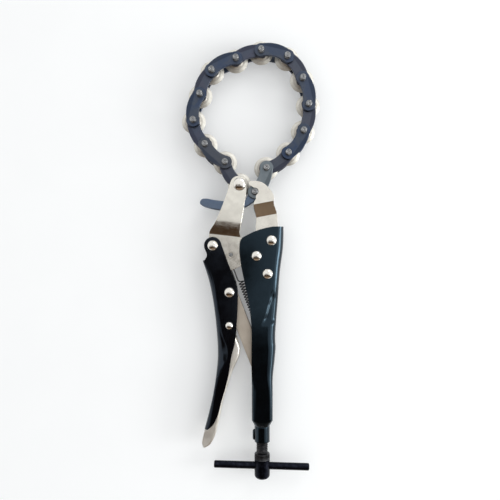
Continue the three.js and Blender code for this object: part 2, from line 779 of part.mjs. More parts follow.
function springPath() {
  const line = springAnchor.clone().sub(springPin);
  const length = line.length();
  const along = line.clone().normalize();
  const side = new THREE.Vector2(along.y, -along.x);
  const at = (down, radius, turn) => {
    const plane = springPin.clone()
      .add(along.clone().multiplyScalar(down))
      .add(side.clone().multiplyScalar(radius * Math.cos(turn)));
    return new THREE.Vector3(plane.x, plane.y, radius * Math.sin(turn));
  };
  const radius = springPinRadius + wireRadius + gap;
  const hook = (centre, direction) =>
    Array.from({ length: arcSteps }, (unused, i) => {
      const turn = Math.PI * (1.25 - (1.25 * i) / arcSteps);
      return at(centre - direction * radius * Math.sin(turn), radius * Math.cos(turn), 0);
    });
  const coilEnd = length - coilEndRoom;
  const turns = Math.round((coilEnd - coilStart - 2 * coilLead) / coilPitch);
  const points = [...hook(0, 1), at(wireLead, radius, 0)];
  const lead = (from, sign, startTurn) =>
    [0, 1, 2].map((i) => at(from + (sign * coilLead * i) / 3, radius, startTurn + (sign * i * Math.PI) / 6));
  points.push(...lead(coilStart, 1, 0));
  const steps = turns * coilSteps;
  const run = coilEnd - coilStart - 2 * coilLead;
  for (let i = 0; i <= steps; i++) {
    points.push(at(coilStart + coilLead + (run * i) / steps, radius, Math.PI / 2 + (2 * Math.PI * i) / coilSteps));
  }
  points.push(...lead(coilEnd, -1, 0).reverse());
  points.push(at(length - wireLead, radius, 0), ...hook(length, -1).reverse());
  return points;
}

// An unbroken tube through points, with its section carried along without twist
function wireTube(points) {
  const last = points.length - 1;
  let side = new THREE.Vector3(0, 0, 1);
  const rings = points.map((point, i) => {
    const tangent = points[Math.min(i + 1, last)].clone().sub(points[Math.max(i - 1, 0)]).normalize();
    side = side.sub(tangent.clone().multiplyScalar(side.dot(tangent))).normalize();
    const other = tangent.clone().cross(side);
    return Array.from({ length: wireSides }, (unused, j) => {
      const turn = (2 * Math.PI * j) / wireSides;
      return point.clone()
        .add(side.clone().multiplyScalar(wireRadius * Math.cos(turn)))
        .add(other.clone().multiplyScalar(wireRadius * Math.sin(turn)));
    });
  });
  return loft(rings);
}

function leastGap(points) {
  let least = Infinity;
  for (let i = 0; i < points.length; i++) {
    for (let j = i + coilSteps / 2; j < points.length; j++) {
      least = Math.min(least, points[i].distanceTo(points[j]));
    }
  }
  return least - 2 * wireRadius;
}

const springPoints = springPath();
console.log(`return spring: least gap to itself ${leastGap(springPoints).toFixed(2)} mm`);
place("return_spring", wireTube(springPoints), plainSteel());

// The origin is at the middle of the underside
const box = new THREE.Box3().setFromObject(tool);
const middle = box.getCenter(new THREE.Vector3());
tool.position.set(-middle.x, -middle.y, -box.min.z);

const part = new THREE.Group();
part.add(tool);

export default part;
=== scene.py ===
import json
import math

import bmesh
import bpy
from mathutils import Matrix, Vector


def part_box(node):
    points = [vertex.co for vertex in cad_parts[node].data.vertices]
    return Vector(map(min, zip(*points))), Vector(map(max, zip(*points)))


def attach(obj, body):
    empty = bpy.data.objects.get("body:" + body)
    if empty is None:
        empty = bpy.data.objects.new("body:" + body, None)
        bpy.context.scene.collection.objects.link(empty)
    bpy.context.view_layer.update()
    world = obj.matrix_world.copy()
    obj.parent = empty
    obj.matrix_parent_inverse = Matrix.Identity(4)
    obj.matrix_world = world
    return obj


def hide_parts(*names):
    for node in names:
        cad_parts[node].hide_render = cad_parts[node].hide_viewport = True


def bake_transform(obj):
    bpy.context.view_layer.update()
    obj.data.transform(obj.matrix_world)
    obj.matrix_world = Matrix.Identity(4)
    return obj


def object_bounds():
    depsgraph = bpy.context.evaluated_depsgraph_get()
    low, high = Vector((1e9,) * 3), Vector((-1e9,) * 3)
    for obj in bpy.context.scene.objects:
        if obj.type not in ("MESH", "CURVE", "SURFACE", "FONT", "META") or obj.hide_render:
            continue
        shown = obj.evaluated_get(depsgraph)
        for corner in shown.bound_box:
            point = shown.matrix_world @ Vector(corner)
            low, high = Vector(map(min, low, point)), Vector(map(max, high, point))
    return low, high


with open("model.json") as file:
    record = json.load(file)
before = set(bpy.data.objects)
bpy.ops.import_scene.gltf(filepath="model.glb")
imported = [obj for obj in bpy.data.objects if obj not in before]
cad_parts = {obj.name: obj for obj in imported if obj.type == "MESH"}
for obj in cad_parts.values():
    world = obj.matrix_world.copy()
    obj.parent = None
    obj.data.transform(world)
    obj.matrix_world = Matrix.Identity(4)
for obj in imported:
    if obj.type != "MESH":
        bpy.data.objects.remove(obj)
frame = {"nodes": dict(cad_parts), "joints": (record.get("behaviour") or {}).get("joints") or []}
cad_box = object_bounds()

# Sizes are in millimetres. Places in the plane are measured from the jaw pivot, and heights from its middle.
mm = 0.001

# Camera: straight above the tool
camera_height = 450
camera_across = -5.4
camera_along = 4.9
photo_width = 421.5
sensor_width = 36
clip_near = 10
clip_far = 20000

# Chain
link_end_radius = 5.8
link_outer_bow = 2.1
link_inner_bow = 3.1
inner_link_low = 3.0
inner_link_high = 5.4
outer_link_low = 5.7
outer_link_high = 8.1
chain_pin_radius = 2.5
bush_radius = 3.7
tool_half = 11.7

# Cutting wheels
wheel_radius = 10
wheel_bore = 4.0
wheel_hub_radius = 5.6
wheel_hub_half = 2.7
wheel_shoulder_radius = 7.2
wheel_shoulder_half = 1.5
wheel_edge_half = 0.12

# Rivets
rivet_head_radius = 4.4
anchor_head_radius = 5.3
release_head_radius = 3.2
release_head_height = 2.4
cheek_high = 7.9
rivet_gap = 0.3
head_seat = cheek_high + rivet_gap
rivet_rim_share = 0.16
rivet_under_shares = (0.6, 0.97)

# Jaws
jaw_plate = 2.6
jaw_low = 3.0
movable_high = 5.7
hook_low = 8.4
lug_radius = 6.6
nose_radius = 6.8
nose_shift = 1
boss_radius = 9
hook_width = 15.8
shank_width = 18
foot_radius = 6.2
notch_radius = 3.0
boss_clear = 9.6
spring_pin_radius = 1.4
pin_play = 0.3
movable_jog_run = 12
movable_jog_tilt = -6.5
movable_jog_power = 1.9
fixed_jog_run = 10.7
fixed_jog_tilt = 10.8

# Body and lever
body_wall = 2.0
tube_length = 137.1
tube_half_width = 8.7
back_reach = 22.4
slot_end = 108
slot_corner = 3
slot_lead_turn = 62
slot_lead_length = 16
taper_length = 5.8
neck_radius = 6.4
neck_bore = 5.15
neck_length = 13.6
neck_overlap = 0.6
neck_chamfer = 0.5
bore_chamfer = 0.4
stake_radius = 1.6
stake_length = 6
body_fold_depth = 7.4
tube_fold = 3.6
lever_wall = 2.0
lever_length = 151.7
lever_reach = 20.8
lever_lug_radius = 7.2
lever_fold_depth = 6.5
release_wall = 1.6
release_half = 5.6
release_length = 101.9
release_reach = 22.5
release_boss_radius = 5.2
release_back_top = -10.2
release_fold = 2.2
toggle_length = 74.7
toggle_half_width = 6
toggle_half_thickness = 2.7
tail_reach = 45.6
tail_depth = 15.4
tail_tip_length = 9

# Screw and T-bar
thread_radius = 4.85
thread_depth = 0.8
thread_pitch = 1.5
thread_rise = 26
thread_rows = 10
hub_radius = 6.45
hub_length = 21.2
collar_length = 5.4
hub_round = 3.4
bar_radius = 3
bar_tilt = -1.8
bar_hole_play = 0.4
knurl_ridges = 44
ridge_sides = 4
knurl_depth = 0.22
knurl_margin = 0.9
groove_half = 0.5
groove_floor = 0.15
nose_flange = 4
nose_step = 1.6
nose_round = 1.2

# Spring
wire_radius = 0.5
coil_pitch = 2.3
coil_start = 21
coil_end_room = 10
coil_lead = 3
hook_turn = 225
hook_lead = 1
spring_anchor = Vector((4.2, -66.4))

# Round forms: how many sides they have
stake_sides = 24
small_sides = 32
pin_sides = 48
bar_sides = 64
head_sides = 72
wheel_sides = 96

# Points nearer to each other than this count as one: along an outline, in a shell and where a plate is cut
outline_gap = 0.05
shell_gap = 0.01
cut_gap = 1e-5

# Fine edges: how far they are rounded, and from what angle the edges between faces shade as sharp
link_edge = 0.45
jaw_edge = 0.4
toggle_edge = 0.5
shell_rim = 0.35
release_rim = 0.3
plate_seams = (12, 50)
turned_seam = 32
wheel_seam = 28
hub_seam = 30
shell_seam = 35
head_seam = 40
wire_seam = 60


def middle(node):
    low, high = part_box(node)
    return (low + high) / 2


pivot = middle("jaw_pivot_rivet")


def place_of(node):
    """A node's middle in the plane, from the jaw pivot."""
    return ((middle(node) - pivot) / mm).to_2d()


anchor = place_of("chain_anchor_rivet")
lever_pivot = place_of("lever_pivot_rivet")
toggle_rivet = place_of("toggle_rivet")
release_rivet = place_of("release_rivet")
upper_rivet = place_of("fixed_jaw_upper_rivet")
lower_rivet = place_of("fixed_jaw_lower_rivet")
spring_pin = place_of("spring_pin")
screw_across = place_of("adjusting_screw").x
on_screw = {"centre": (screw_across, 0, 0), "axis": "Y"}
tail_joint = next(j for j in frame["joints"] if j["name"] == "tail_lever_turn")
hook_pin = ((Vector(tail_joint["pos_m"]) - pivot) / mm).to_2d()
link_count = sum(name.startswith("cutting_wheel") for name in frame["nodes"])
chain_pins = [place_of(f"cutting_wheel_{i + 1:02d}") for i in range(link_count)] + [hook_pin]
chain_pitch = (chain_pins[1] - chain_pins[0]).length


# Lines in the plane


def arc(centre, radius, start, end, steps=24):
    turns = [math.radians(start + (end - start) * i / steps) for i in range(steps + 1)]
    return [Vector((centre[0] + radius * math.cos(t), centre[1] + radius * math.sin(t))) for t in turns]


def through(points, steps=6):
    """A smooth line through points, in order."""
    points = [Vector(p) for p in points]
    gaps = [(b - a).length for a, b in zip(points, points[1:])]
    slopes = [(b - a) / gap for a, b, gap in zip(points, points[1:], gaps)]
    tangents = [slopes[0]]
    for i in range(1, len(slopes)):
        tangents.append((slopes[i - 1] * gaps[i] + slopes[i] * gaps[i - 1]) / (gaps[i - 1] + gaps[i]))
    tangents.append(slopes[-1])
    line = [points[0]]
    for i, gap in enumerate(gaps):
        for k in range(1, steps + 1):
            u = k / steps
            line.append(
                points[i] * (2 * u**3 - 3 * u**2 + 1)
                + tangents[i] * gap * (u**3 - 2 * u**2 + u)
                + points[i + 1] * (3 * u**2 - 2 * u**3)
                + tangents[i + 1] * gap * (u**3 - u**2)
            )
    return line


def closed(*lines):
    """One outline from lines in order, without doubled points."""
    outline = []
    for point in [Vector(p) for line in lines for p in line]:
        if not outline or (point - outline[-1]).length > outline_gap:
            outline.append(point)
    if (outline[0] - outline[-1]).length < outline_gap:
        outline.pop()
    return outline


def across_at(line, along):
    """Where a line that runs down the tool is, across, at one place along it."""
    for a, b in zip(line, line[1:]):
        if min(a.y, b.y) <= along <= max(a.y, b.y) and a.y != b.y:
            return a.x + (b.x - a.x) * (along - a.y) / (b.y - a.y)
    return line[0].x if along > line[0].y else line[-1].x


def smooth_step(value, low, high):
    share = min(max((value - low) / (high - low), 0), 1)
    return share * share * (3 - 2 * share)


def down_tool(shares, reach, length):
    """Points from shares of a length down the tool and of a reach across it."""
    return [Vector((across * reach, -along * length)) for along, across in shares]


# Profiles of turned forms, as (radius, height)


def corner(radius, height, *steps):
    """Points round a corner, each some way out and up from it."""
    return [(radius + out, height + up) for out, up in steps]


def quarter(radius, steps):
    """A quarter round, as how far out and up it is, from its flat end."""
    turns = [math.pi / 2 * k / steps for k in range(steps + 1)]
    return [(radius * math.sin(t), radius * (1 - math.cos(t))) for t in turns]


def both_ends(half):
    """A profile's upper half and its mirror image below."""
    return [(radius, -height) for radius, height in reversed(half)] + half


# Meshes


def skin(mesh, rows, ring=False):
    """Faces between rows of points that go round. A ring's last row joins its first."""
    pairs = list(zip(rows, rows[1:]))
    if ring:
        pairs.append((rows[-1], rows[0]))
    for a, b in pairs:
        sides = max(len(a), len(b))
        for k in range(sides):
            n = (k + 1) % sides
            corners = [a[k % len(a)], a[n % len(a)], b[n % len(b)], b[k % len(b)]]
            corners = list(dict.fromkeys(corners))
            if len(corners) > 2:
                mesh.faces.new(corners)


def add_prism(mesh, outline, low, high):
    bottom = [mesh.verts.new((p[0], p[1], low)) for p in outline]
    top = [mesh.verts.new((p[0], p[1], high)) for p in outline]
    mesh.faces.new(top)
    mesh.faces.new(reversed(bottom))
    skin(mesh, [bottom, top])


def add_turned(mesh, profile, sides, centre=(0, 0, 0), axis="Z", ring=False, radius_at=None):
    """A turned form from a profile. A ring's profile closes on itself."""
    rows = []
    for radius, height in profile:
        row = []
        for turn in [2 * math.pi * k / sides for k in range(sides if radius else 1)]:
            r = radius_at(radius, height, turn) if radius_at else radius
            across, aside = r * math.cos(turn), r * math.sin(turn)
            point = (across, aside, height) if axis == "Z" else (across, height, aside)
            row.append(mesh.verts.new(Vector(centre) + Vector(point)))
        rows.append(row)
    skin(mesh, rows, ring)


def add_tube(mesh, points, radius, sides=10):
    """A round wire along points, with its section carried without twist."""
    side = Vector((0, 0, 1))
    rings = []
    for i, point in enumerate(points):
        tangent = (points[min(i + 1, len(points) - 1)] - points[max(i - 1, 0)]).normalized()
        side = (side - tangent * side.dot(tangent)).normalized()
        other = tangent.cross(side)
        turns = [2 * math.pi * k / sides for k in range(sides)]
        rings.append([
            mesh.verts.new(point + side * radius * math.cos(t) + other * radius * math.sin(t)) for t in turns
        ])
    skin(mesh, rings)
    mesh.faces.new(reversed(rings[0]))
    mesh.faces.new(rings[-1])


def mark_sharp(mesh, low, high=181):
    """Edges whose faces meet between two angles shade as sharp."""
    for edge in mesh.edges:
        if len(edge.link_faces) == 2:
            angle = math.degrees(edge.calc_face_angle(0))
            edge.smooth = not low < angle < high
    for face in mesh.faces:
        face.smooth = True


def new_piece(name, mesh, centre=(0, 0), turned_out=True):
    """An object from a mesh in millimetres round a centre, set in the row frame."""
    if turned_out:
        bmesh.ops.recalc_face_normals(mesh, faces=mesh.faces[:])
    bmesh.ops.scale(mesh, vec=(mm, mm, mm), verts=mesh.verts[:])
    data = bpy.data.meshes.new(name)
    mesh.to_mesh(data)
    mesh.free()
    piece = bpy.data.objects.new(name, data)
    piece.location = pivot + Vector((centre[0], centre[1], 0)) * mm
    bpy.context.scene.collection.objects.link(piece)
    return piece


def round_edges(piece, width, least_angle=50, segments=3):
    bevel = piece.modifiers.new("edges", "BEVEL")
    bevel.width = width * mm
    bevel.segments = segments
    bevel.limit_method = "ANGLE"
    bevel.angle_limit = math.radians(least_angle)
    bevel.use_clamp_overlap = True
    bevel.harden_normals = True
    return piece


def plate_piece(name, plates, edge, at=(0, 0)):
    """A piece of flat plates, each an outline from one height to another, with rounded edges."""
    mesh = bmesh.new()
    for outline, low, high in plates:
        add_prism(mesh, outline, low, high)
    mark_sharp(mesh, *plate_seams)
    return round_edges(new_piece(name, mesh, at), edge)


def turned_piece(name, profile, sides, at=(0, 0), seam=turned_seam, **form):
    """A piece of one turned form, with the angle from which its edges shade as sharp."""
    mesh = bmesh.new()
    add_turned(mesh, profile, sides, **form)
    mark_sharp(mesh, seam)
    return new_piece(name, mesh, at)


def drill(piece, at, radius, reach, sides, seams, across=False):
    """Bores a hole down through a piece or across the tool, and marks the sharp edges again."""
    axis = "Y" if across else "Z"
    cutter = turned_piece("drill", both_ends([(radius, reach), (0, reach)]), sides, at, axis=axis)
    cutter.rotation_euler.z = math.pi / 2 if across else 0
    cut = piece.modifiers.new("cut", "BOOLEAN")
    cut.object = cutter
    cut.operation = "DIFFERENCE"
    cut.solver = "EXACT"
    bpy.context.view_layer.update()
    graph = bpy.context.evaluated_depsgraph_get()
    piece.data = bpy.data.meshes.new_from_object(piece.evaluated_get(graph))
    piece.modifiers.clear()
    bpy.data.objects.remove(cutter)
    mesh = bmesh.new()
    mesh.from_mesh(piece.data)
    mark_sharp(mesh, *seams)
    mesh.to_mesh(piece.data)
    mesh.free()


def hand_in(piece, body, slot, material, *nodes):
    """Gives a piece its finish and its body, and hides the frame nodes that it stands for."""
    piece.data.materials.clear()
    piece.data.materials.append(material)
    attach(piece, body)
    if nodes:
        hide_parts(*nodes)
    return piece


# Nodes


class Nodes:
    """Short ways to add nodes to a material's tree or the world's."""

    def __init__(self, tree):
        self.tree = tree

    def add(self, kind, **inputs):
        return self.set(self.tree.nodes.new("ShaderNode" + kind), **inputs)

    def set(self, node, **inputs):
        """Gives a node its inputs by name, with a space for each underscore."""
        for name, value in inputs.items():
            self.link(value, node.inputs[name.replace("_", " ")])
        return node

    def link(self, value, socket):
        """Links a node's output to a socket, or sets a number, vector or colour on the socket itself."""
        if isinstance(value, bpy.types.NodeSocket):
            self.tree.links.new(value, socket)
        else:
            socket.default_value = (*value, 1) if socket.type == "RGBA" else value

    def sum(self, kind, operation, first, second):
        node = self.add(kind)
        node.operation = operation
        self.link(first, node.inputs[0])
        self.link(second, node.inputs[1])
        return node.outputs

    def maths(self, operation, first, second=0.0):
        return self.sum("Math", operation, first, second)["Value"]

    def times(self, first, second):
        return self.maths("MULTIPLY", first, second)

    def most(self, first, second):
        return self.maths("MAXIMUM", first, second)

    def spread(self, value, low, high, to_low=0, to_high=1, smooth=True):
        """A value taken from one range to another."""
        node = self.add("MapRange", Value=value, From_Min=low, From_Max=high, To_Min=to_low, To_Max=to_high)
        if smooth:
            node.interpolation_type = "SMOOTHSTEP"
        return node.outputs["Result"]

    def blend(self, share, first, second):
        """A colour, with a share of a second one."""
        node = self.add("Mix")
        node.data_type = "RGBA"
        factor = next(s for s in node.inputs if s.name == "Factor" and s.type == "VALUE")
        colours = [s for s in node.inputs if s.type == "RGBA"]
        for value, socket in zip((share, first, second), [factor] + colours):
            self.link(value, socket)
        return next(s for s in node.outputs if s.type == "RGBA")

    def seen(self):
        """1 for the camera's rays and those that metal and glass send on, and 1 for the latter alone."""
        path = self.add("LightPath").outputs
        mirrored = self.most(path["Is Glossy Ray"], path["Is Transmission Ray"])
        return self.most(path["Is Camera Ray"], mirrored), mirrored


# Finishes: sizes and depths are in millimetres


class Finish(Nodes):
    """A procedural material: a first colour, layers of others over it, and relief."""

    def __init__(self, name, colour):
        self.material = bpy.data.materials.new(name)
        self.material.use_nodes = True
        super().__init__(self.material.node_tree)
        self.shader = self.tree.nodes["Principled BSDF"]
        self.coords = self.add("TexCoord").outputs["Object"]
        self.chance = self.add("ObjectInfo").outputs["Random"]
        self.shifted = self.sum("VectorMath", "ADD", self.coords, self.chance)["Vector"]
        self.colour = colour
        self.relief = None

    def scaled(self, size, stretch=(1, 1, 1)):
        """The piece's own coordinates in steps of a size, longer where stretch is more."""
        scale = [1 / (size * mm * s) for s in stretch]
        return self.add("Mapping", Vector=self.shifted, Scale=scale).outputs["Vector"]

    def noise(self, size, detail, stretch=(1, 1, 1), distortion=0):
        """Noise with blotches of about a size."""
        place = self.scaled(size, stretch)
        return self.add("TexNoise", Vector=place, Scale=1, Detail=detail, Roughness=0.55,
                        Distortion=distortion).outputs["Fac"]

    def cloud(self, size, detail, low, high, to_low=0, to_high=1, **form):
        """Noise taken from one range to another."""
        return self.spread(self.noise(size, detail, **form), low, high, to_low, to_high)

    def specks(self, size, share):
        """Small spots, as a mask that is 1 in about a share of the cells."""
        cells = self.add("TexVoronoi", Vector=self.scaled(size), Scale=1)
        return self.spread(cells.outputs["Distance"], share, share / 2)

    def wear_and_shade_edge(self, low, high):
        """1 on outward edges, 0 on flats."""
        return self.spread(self.add("NewGeometry").outputs["Pointiness"], low, high)

    def radius(self):
        """How far a point is from the piece's own axis, in metres."""
        flat = self.sum("VectorMath", "MULTIPLY", self.coords, (1, 1, 0))["Vector"]
        return self.sum("VectorMath", "LENGTH", flat, (0, 0, 0))["Value"]

    def layer(self, mask, colour, share=1):
        """Lays another colour over where a mask is, or at most a share of it."""
        self.colour = self.blend(self.times(mask, share) if share < 1 else mask, self.colour, colour)

    def bump(self, height, depth, strength):
        """Lays relief of a depth over the relief that is there."""
        node = self.add("Bump", Strength=strength, Distance=depth * mm, Height=height)
        if self.relief:
            self.link(self.relief, node.inputs["Normal"])
        self.relief = node.outputs["Normal"]

    def dents(self, size, detail, depth, strength, **form):
        """Lays relief of noise over the relief that is there."""
        self.bump(self.noise(size, detail, **form), depth, strength)

    def done(self, roughness, **inputs):
        self.set(self.shader, Base_Color=self.colour, Roughness=roughness, **inputs)
        if self.relief:
            self.set(self.shader, Normal=self.relief)
        return self.material


# A cloud is given by its size and detail, the levels that it is taken from and those that it is taken to, and
# dents by their size, detail, depth and strength.


def nickel_finish(name, light, dark, smooth, rough, grain=(1, 1, 1)):
    """Nickel in two tones, with faint stains, scratches and a fine grain."""
    finish = Finish(name, dark)
    finish.layer(finish.cloud(14, 3, 0.35, 0.7), light)
    stain = finish.cloud(5, 5, 0.62, 0.78, 0, 0.16, distortion=0.6)
    finish.layer(stain, (0.50, 0.43, 0.33))
    scratches = finish.cloud(1.1, 2, 0.70, 0.76, stretch=(9, 0.35, 1), distortion=1.5)
    finish.layer(scratches, (0.35, 0.32, 0.28), 0.12)
    finish.dents(0.35, 3, 0.0006, 0.4, stretch=grain)
    finish.dents(6, 2, 0.015, 0.4)
    return finish.done(finish.cloud(4, 4, 0.3, 0.7, smooth, rough), Metallic=1.0)


def blued_finish(name, tone, heat, other):
    """Heat-blued steel: two tones in patches, each piece a little towards a third, and outward edges darkened
    with painted shade.
    """
    finish = Finish(name, tone)
    smudge_tone, painted_edge_shade_tone = [[c * share for c in tone] for share in (0.55, 0.4)]
    finish.layer(finish.cloud(9, 3, 0.36, 0.66, distortion=0.8), heat)
    finish.layer(finish.spread(finish.chance, 0, 1, 0, 0.75, smooth=False), other)
    finish.layer(finish.cloud(2.2, 5, 0.55, 0.75, 0, 0.35), smudge_tone)
    # Painted shade: outward edges are darkened, standing in for the shadow between the plates.
    finish.layer(finish.wear_and_shade_edge(0.51, 0.56), painted_edge_shade_tone, 0.7)
    finish.dents(0.5, 3, 0.004, 0.5)
    finish.dents(6, 2, 0.03, 0.4)
    return finish.done(finish.cloud(1.6, 4, 0.3, 0.72, 0.34, 0.46), Metallic=1.0)


def wheel_finish():
    """Ground steel, turned in fine rings, with a brighter bevel."""
    finish = Finish("ground_wheel", (0.56, 0.535, 0.485))
    ring_pitch = 0.32
    bevel_lead = 0.8
    radius = finish.radius()
    bevel = finish.spread(radius, wheel_shoulder_radius * mm, (wheel_shoulder_radius + bevel_lead) * mm)
    finish.layer(bevel, (0.74, 0.725, 0.67))
    haze = finish.cloud(2.5, 4, 0.45, 0.75, 0, 0.4)
    finish.layer(haze, (0.47, 0.445, 0.40))
    rings = finish.maths("SINE", finish.times(radius, 2 * math.pi / (ring_pitch * mm)))
    finish.bump(rings, 0.0035, 0.5)
    finish.dents(0.5, 3, 0.006, 0.5)
    return finish.done(finish.cloud(1.2, 4, 0.3, 0.7, 0.5, 0.62), Metallic=1.0)


def pin_finish():
    """Plain steel in two tones, with worn edges."""
    finish = Finish("pin_steel", (0.20, 0.21, 0.22))
    finish.layer(finish.cloud(0.8, 4, 0.35, 0.7), (0.34, 0.345, 0.35))
    finish.layer(finish.wear_and_shade_edge(0.53, 0.6), (0.50, 0.50, 0.50), 0.6)
    finish.dents(0.25, 3, 0.008, 0.8)
    return finish.done(finish.cloud(1, 3, 0.3, 0.7, 0.34, 0.5), Metallic=1.0)


def paint_finish(name, tone, gloss):
    """Glossy black paint with a little dust and worn edges."""
    finish = Finish(name, tone)
    finish.layer(finish.cloud(25, 3, 0.35, 0.7), [c * 1.8 for c in tone])
    dust = finish.specks(1.1, 0.06)
    finish.layer(dust, (0.10, 0.105, 0.11), 0.12)
    chips = finish.times(finish.wear_and_shade_edge(0.58, 0.64), finish.cloud(1.5, 4, 0.5, 0.6))
    finish.layer(chips, (0.08, 0.08, 0.09), 0.3)
    finish.dents(2.2, 2, 0.006, 0.4)
    finish.dents(16, 2, 0.05, 0.3)
    return finish.done(finish.cloud(9, 4, 0.3, 0.75, 0.10, 0.15), Specular_Tint=gloss)


def oxide_finish(name, tone, lighter):
    """Steel with a dark skin in two tones, worn at the edges."""
    finish = Finish(name, tone)
    finish.layer(finish.cloud(3, 5, 0.4, 0.72), lighter)
    finish.layer(finish.wear_and_shade_edge(0.56, 0.64), (0.09, 0.09, 0.10), 0.3)
    finish.dents(0.4, 3, 0.004, 0.5)
    return finish.done(finish.cloud(1.5, 4, 0.3, 0.7, 0.3, 0.42), Metallic=1.0)


def floor_finish():
    """Pale floor that keeps the object's shadow and looks white to the camera and in the metal."""
    finish = Finish("pale_floor", (0.78, 0.79, 0.795))
    glow_level = 0.2
    finish.layer(finish.cloud(60, 2, 0.3, 0.7), (0.79, 0.80, 0.805))
    seen = finish.seen()[0]
    glow = finish.add("Emission", Color=(0.985, 0.995, 1), Strength=finish.times(seen, glow_level))
    both = finish.add("AddShader")
    finish.link(finish.shader.outputs["BSDF"], both.inputs[0])
    finish.link(glow.outputs["Emission"], both.inputs[1])
    finish.set(finish.tree.nodes["Material Output"], Surface=both.outputs["Shader"])
    return finish.done(0.9, Specular_IOR_Level=0.0)


# Grain in nickel and steel that runs across a piece, and along it
cross_grain = (6, 0.5, 1)
long_grain = (0.5, 6, 1)

jaw_nickel = nickel_finish("nickel_plate", (0.81, 0.79, 0.72), (0.745, 0.72, 0.655), 0.15, 0.23, cross_grain)
rivet_nickel = nickel_finish("nickel_rivet", (0.84, 0.82, 0.77), (0.78, 0.755, 0.70), 0.15, 0.22)
release_nickel = nickel_finish("nickel_release", (0.95, 0.93, 0.875), (0.85, 0.82, 0.75), 0.4, 0.52,
                               long_grain)
outer_blued = blued_finish("blued_outer", (0.061, 0.087, 0.150), (0.091, 0.109, 0.141), (0.129, 0.133, 0.141))
inner_blued = blued_finish("blued_inner", (0.092, 0.099, 0.150), (0.082, 0.104, 0.157), (0.109, 0.119, 0.132))
end_blued = blued_finish("blued_end", (0.21, 0.25, 0.28), (0.27, 0.30, 0.32), (0.24, 0.275, 0.30))
tail_blued = blued_finish("blued_tail", (0.14, 0.20, 0.30), (0.18, 0.225, 0.30), (0.165, 0.215, 0.30))
wheel_steel = wheel_finish()
pin_steel = pin_finish()
body_paint = paint_finish("black_body", (0.0006, 0.0009, 0.0014), (0.48, 0.76, 1.0))
lever_paint = paint_finish("black_lever", (0.0006, 0.0007, 0.0014), (0.62, 0.78, 1.0))
screw_oxide = oxide_finish("black_oxide", (0.008, 0.009, 0.014), (0.020, 0.022, 0.034))
thread_oxide = oxide_finish("black_oxide_thread", (0.035, 0.035, 0.038), (0.075, 0.075, 0.078))
toggle_steel = nickel_finish("plain_toggle", (0.73, 0.665, 0.575), (0.66, 0.59, 0.50), 0.44, 0.54, long_grain)
spring_steel = oxide_finish("spring_wire", (0.10, 0.10, 0.11), (0.20, 0.20, 0.21))


# Chain: each link has its pins at zero and one pitch along X and bows outwards, towards +Y


def link_outline():
    def side(sign, bow, shares):
        return [Vector((chain_pitch * s, sign * link_end_radius + bow * 4 * s * (1 - s))) for s in shares]

    shares = [k / 16 for k in range(1, 16)]
    return closed(
        arc((0, 0), link_end_radius, 90, 270),
        side(-1, link_inner_bow, shares),
        arc((chain_pitch, 0), link_end_radius, -90, 90),
        side(1, link_outer_bow, reversed(shares)),
    )


bush_profile = both_ends([(bush_radius, inner_link_low), (chain_pin_radius + pin_play, inner_link_low)])


def pin_profile():
    """A chain pin with a shoulder on the plate, a peened end, a ring pressed into it and a centre mark."""
    shoulder = corner(chain_pin_radius, outer_link_high, (0, -0.3), (0.25, -0.2), (0.25, 0.2), (0, 0.35))
    rim = corner(chain_pin_radius, tool_half, (0, -0.55), (-0.16, -0.2), (-0.45, 0))
    ring = corner(0, tool_half, (1.72, 0), (1.6, -0.14), (1.42, -0.16), (1.3, -0.03))
    mark = corner(0, tool_half, (0.62, -0.05), (0.45, -0.3), (0, -0.42))
    return both_ends(shoulder + rim + ring + mark)


def chain_link(i):
    heading = chain_pins[i + 1] - chain_pins[i]
    if i % 2 == 0:
        kind, bars_kind, low, high, finish = "inner", "bushes", inner_link_low, inner_link_high, inner_blued
    else:
        kind, bars_kind, low, high, finish = "outer", "pins", outer_link_low, outer_link_high, outer_blued
    if i == link_count - 1:
        finish = end_blued
    mesh = bmesh.new()
    for along in (0, chain_pitch):
        profile = bush_profile if kind == "inner" else pin_profile()
        add_turned(mesh, profile, pin_sides, (along, 0, 0), ring=kind == "inner")
    mark_sharp(mesh, turned_seam)
    node = f"{kind}_link_{i + 1:02d}"
    outline = link_outline()
    levels = [(outline, low, high), (outline, -high, -low)]
    plates = plate_piece(f"link_plates_{i + 1:02d}", levels, link_edge, chain_pins[i])
    hand_in(plates, node, "blued_steel", finish, node)
    bars = new_piece(f"link_{bars_kind}_{i + 1:02d}", mesh, chain_pins[i])
    hand_in(bars, node, "plain_steel", pin_steel)
    plates.rotation_euler.z = bars.rotation_euler.z = math.atan2(heading.y, heading.x)


def cutting_wheel(i):
    half = (
        corner(wheel_bore, wheel_hub_half, (0, -0.3), (0.3, 0))
        + corner(wheel_hub_radius, wheel_hub_half, (-0.3, 0), (0, -0.2))
        + corner(wheel_hub_radius, wheel_shoulder_half, (0.35, 0.35), (0.8, 0.1))
        + corner(wheel_shoulder_radius, wheel_shoulder_half, (-0.2, 0), (0.15, -0.12))
        + corner(wheel_radius, wheel_edge_half, (-0.15, 0.08), (0, 0))
    )
    name = f"wheel_{i + 1:02d}"
    wheel = turned_piece(name, both_ends(half), wheel_sides, chain_pins[i], wheel_seam, ring=True)
    wheel.rotation_euler.z = i
    hand_in(wheel, "cutting_" + name, "ground_steel", wheel_steel, "cutting_" + name)


for i in range(link_count):
    chain_link(i)
    cutting_wheel(i)


# Rivets with a domed head at both ends


def rivet(name, at, body, radius=rivet_head_radius, seat=head_seat, top=tool_half):
    dome_height = (top - seat) * (1 - rivet_rim_share)
    under = [(radius * share, seat - rivet_gap) for share in rivet_under_shares]
    dome = [(radius * out, top - dome_height * up) for out, up in reversed(quarter(1, 18))]
    profile = both_ends(under + [(radius, seat)] + dome)
    piece = turned_piece(name + "_domed", profile, head_sides, at, head_seam)
    hand_in(piece, body, "nickel", rivet_nickel, name)


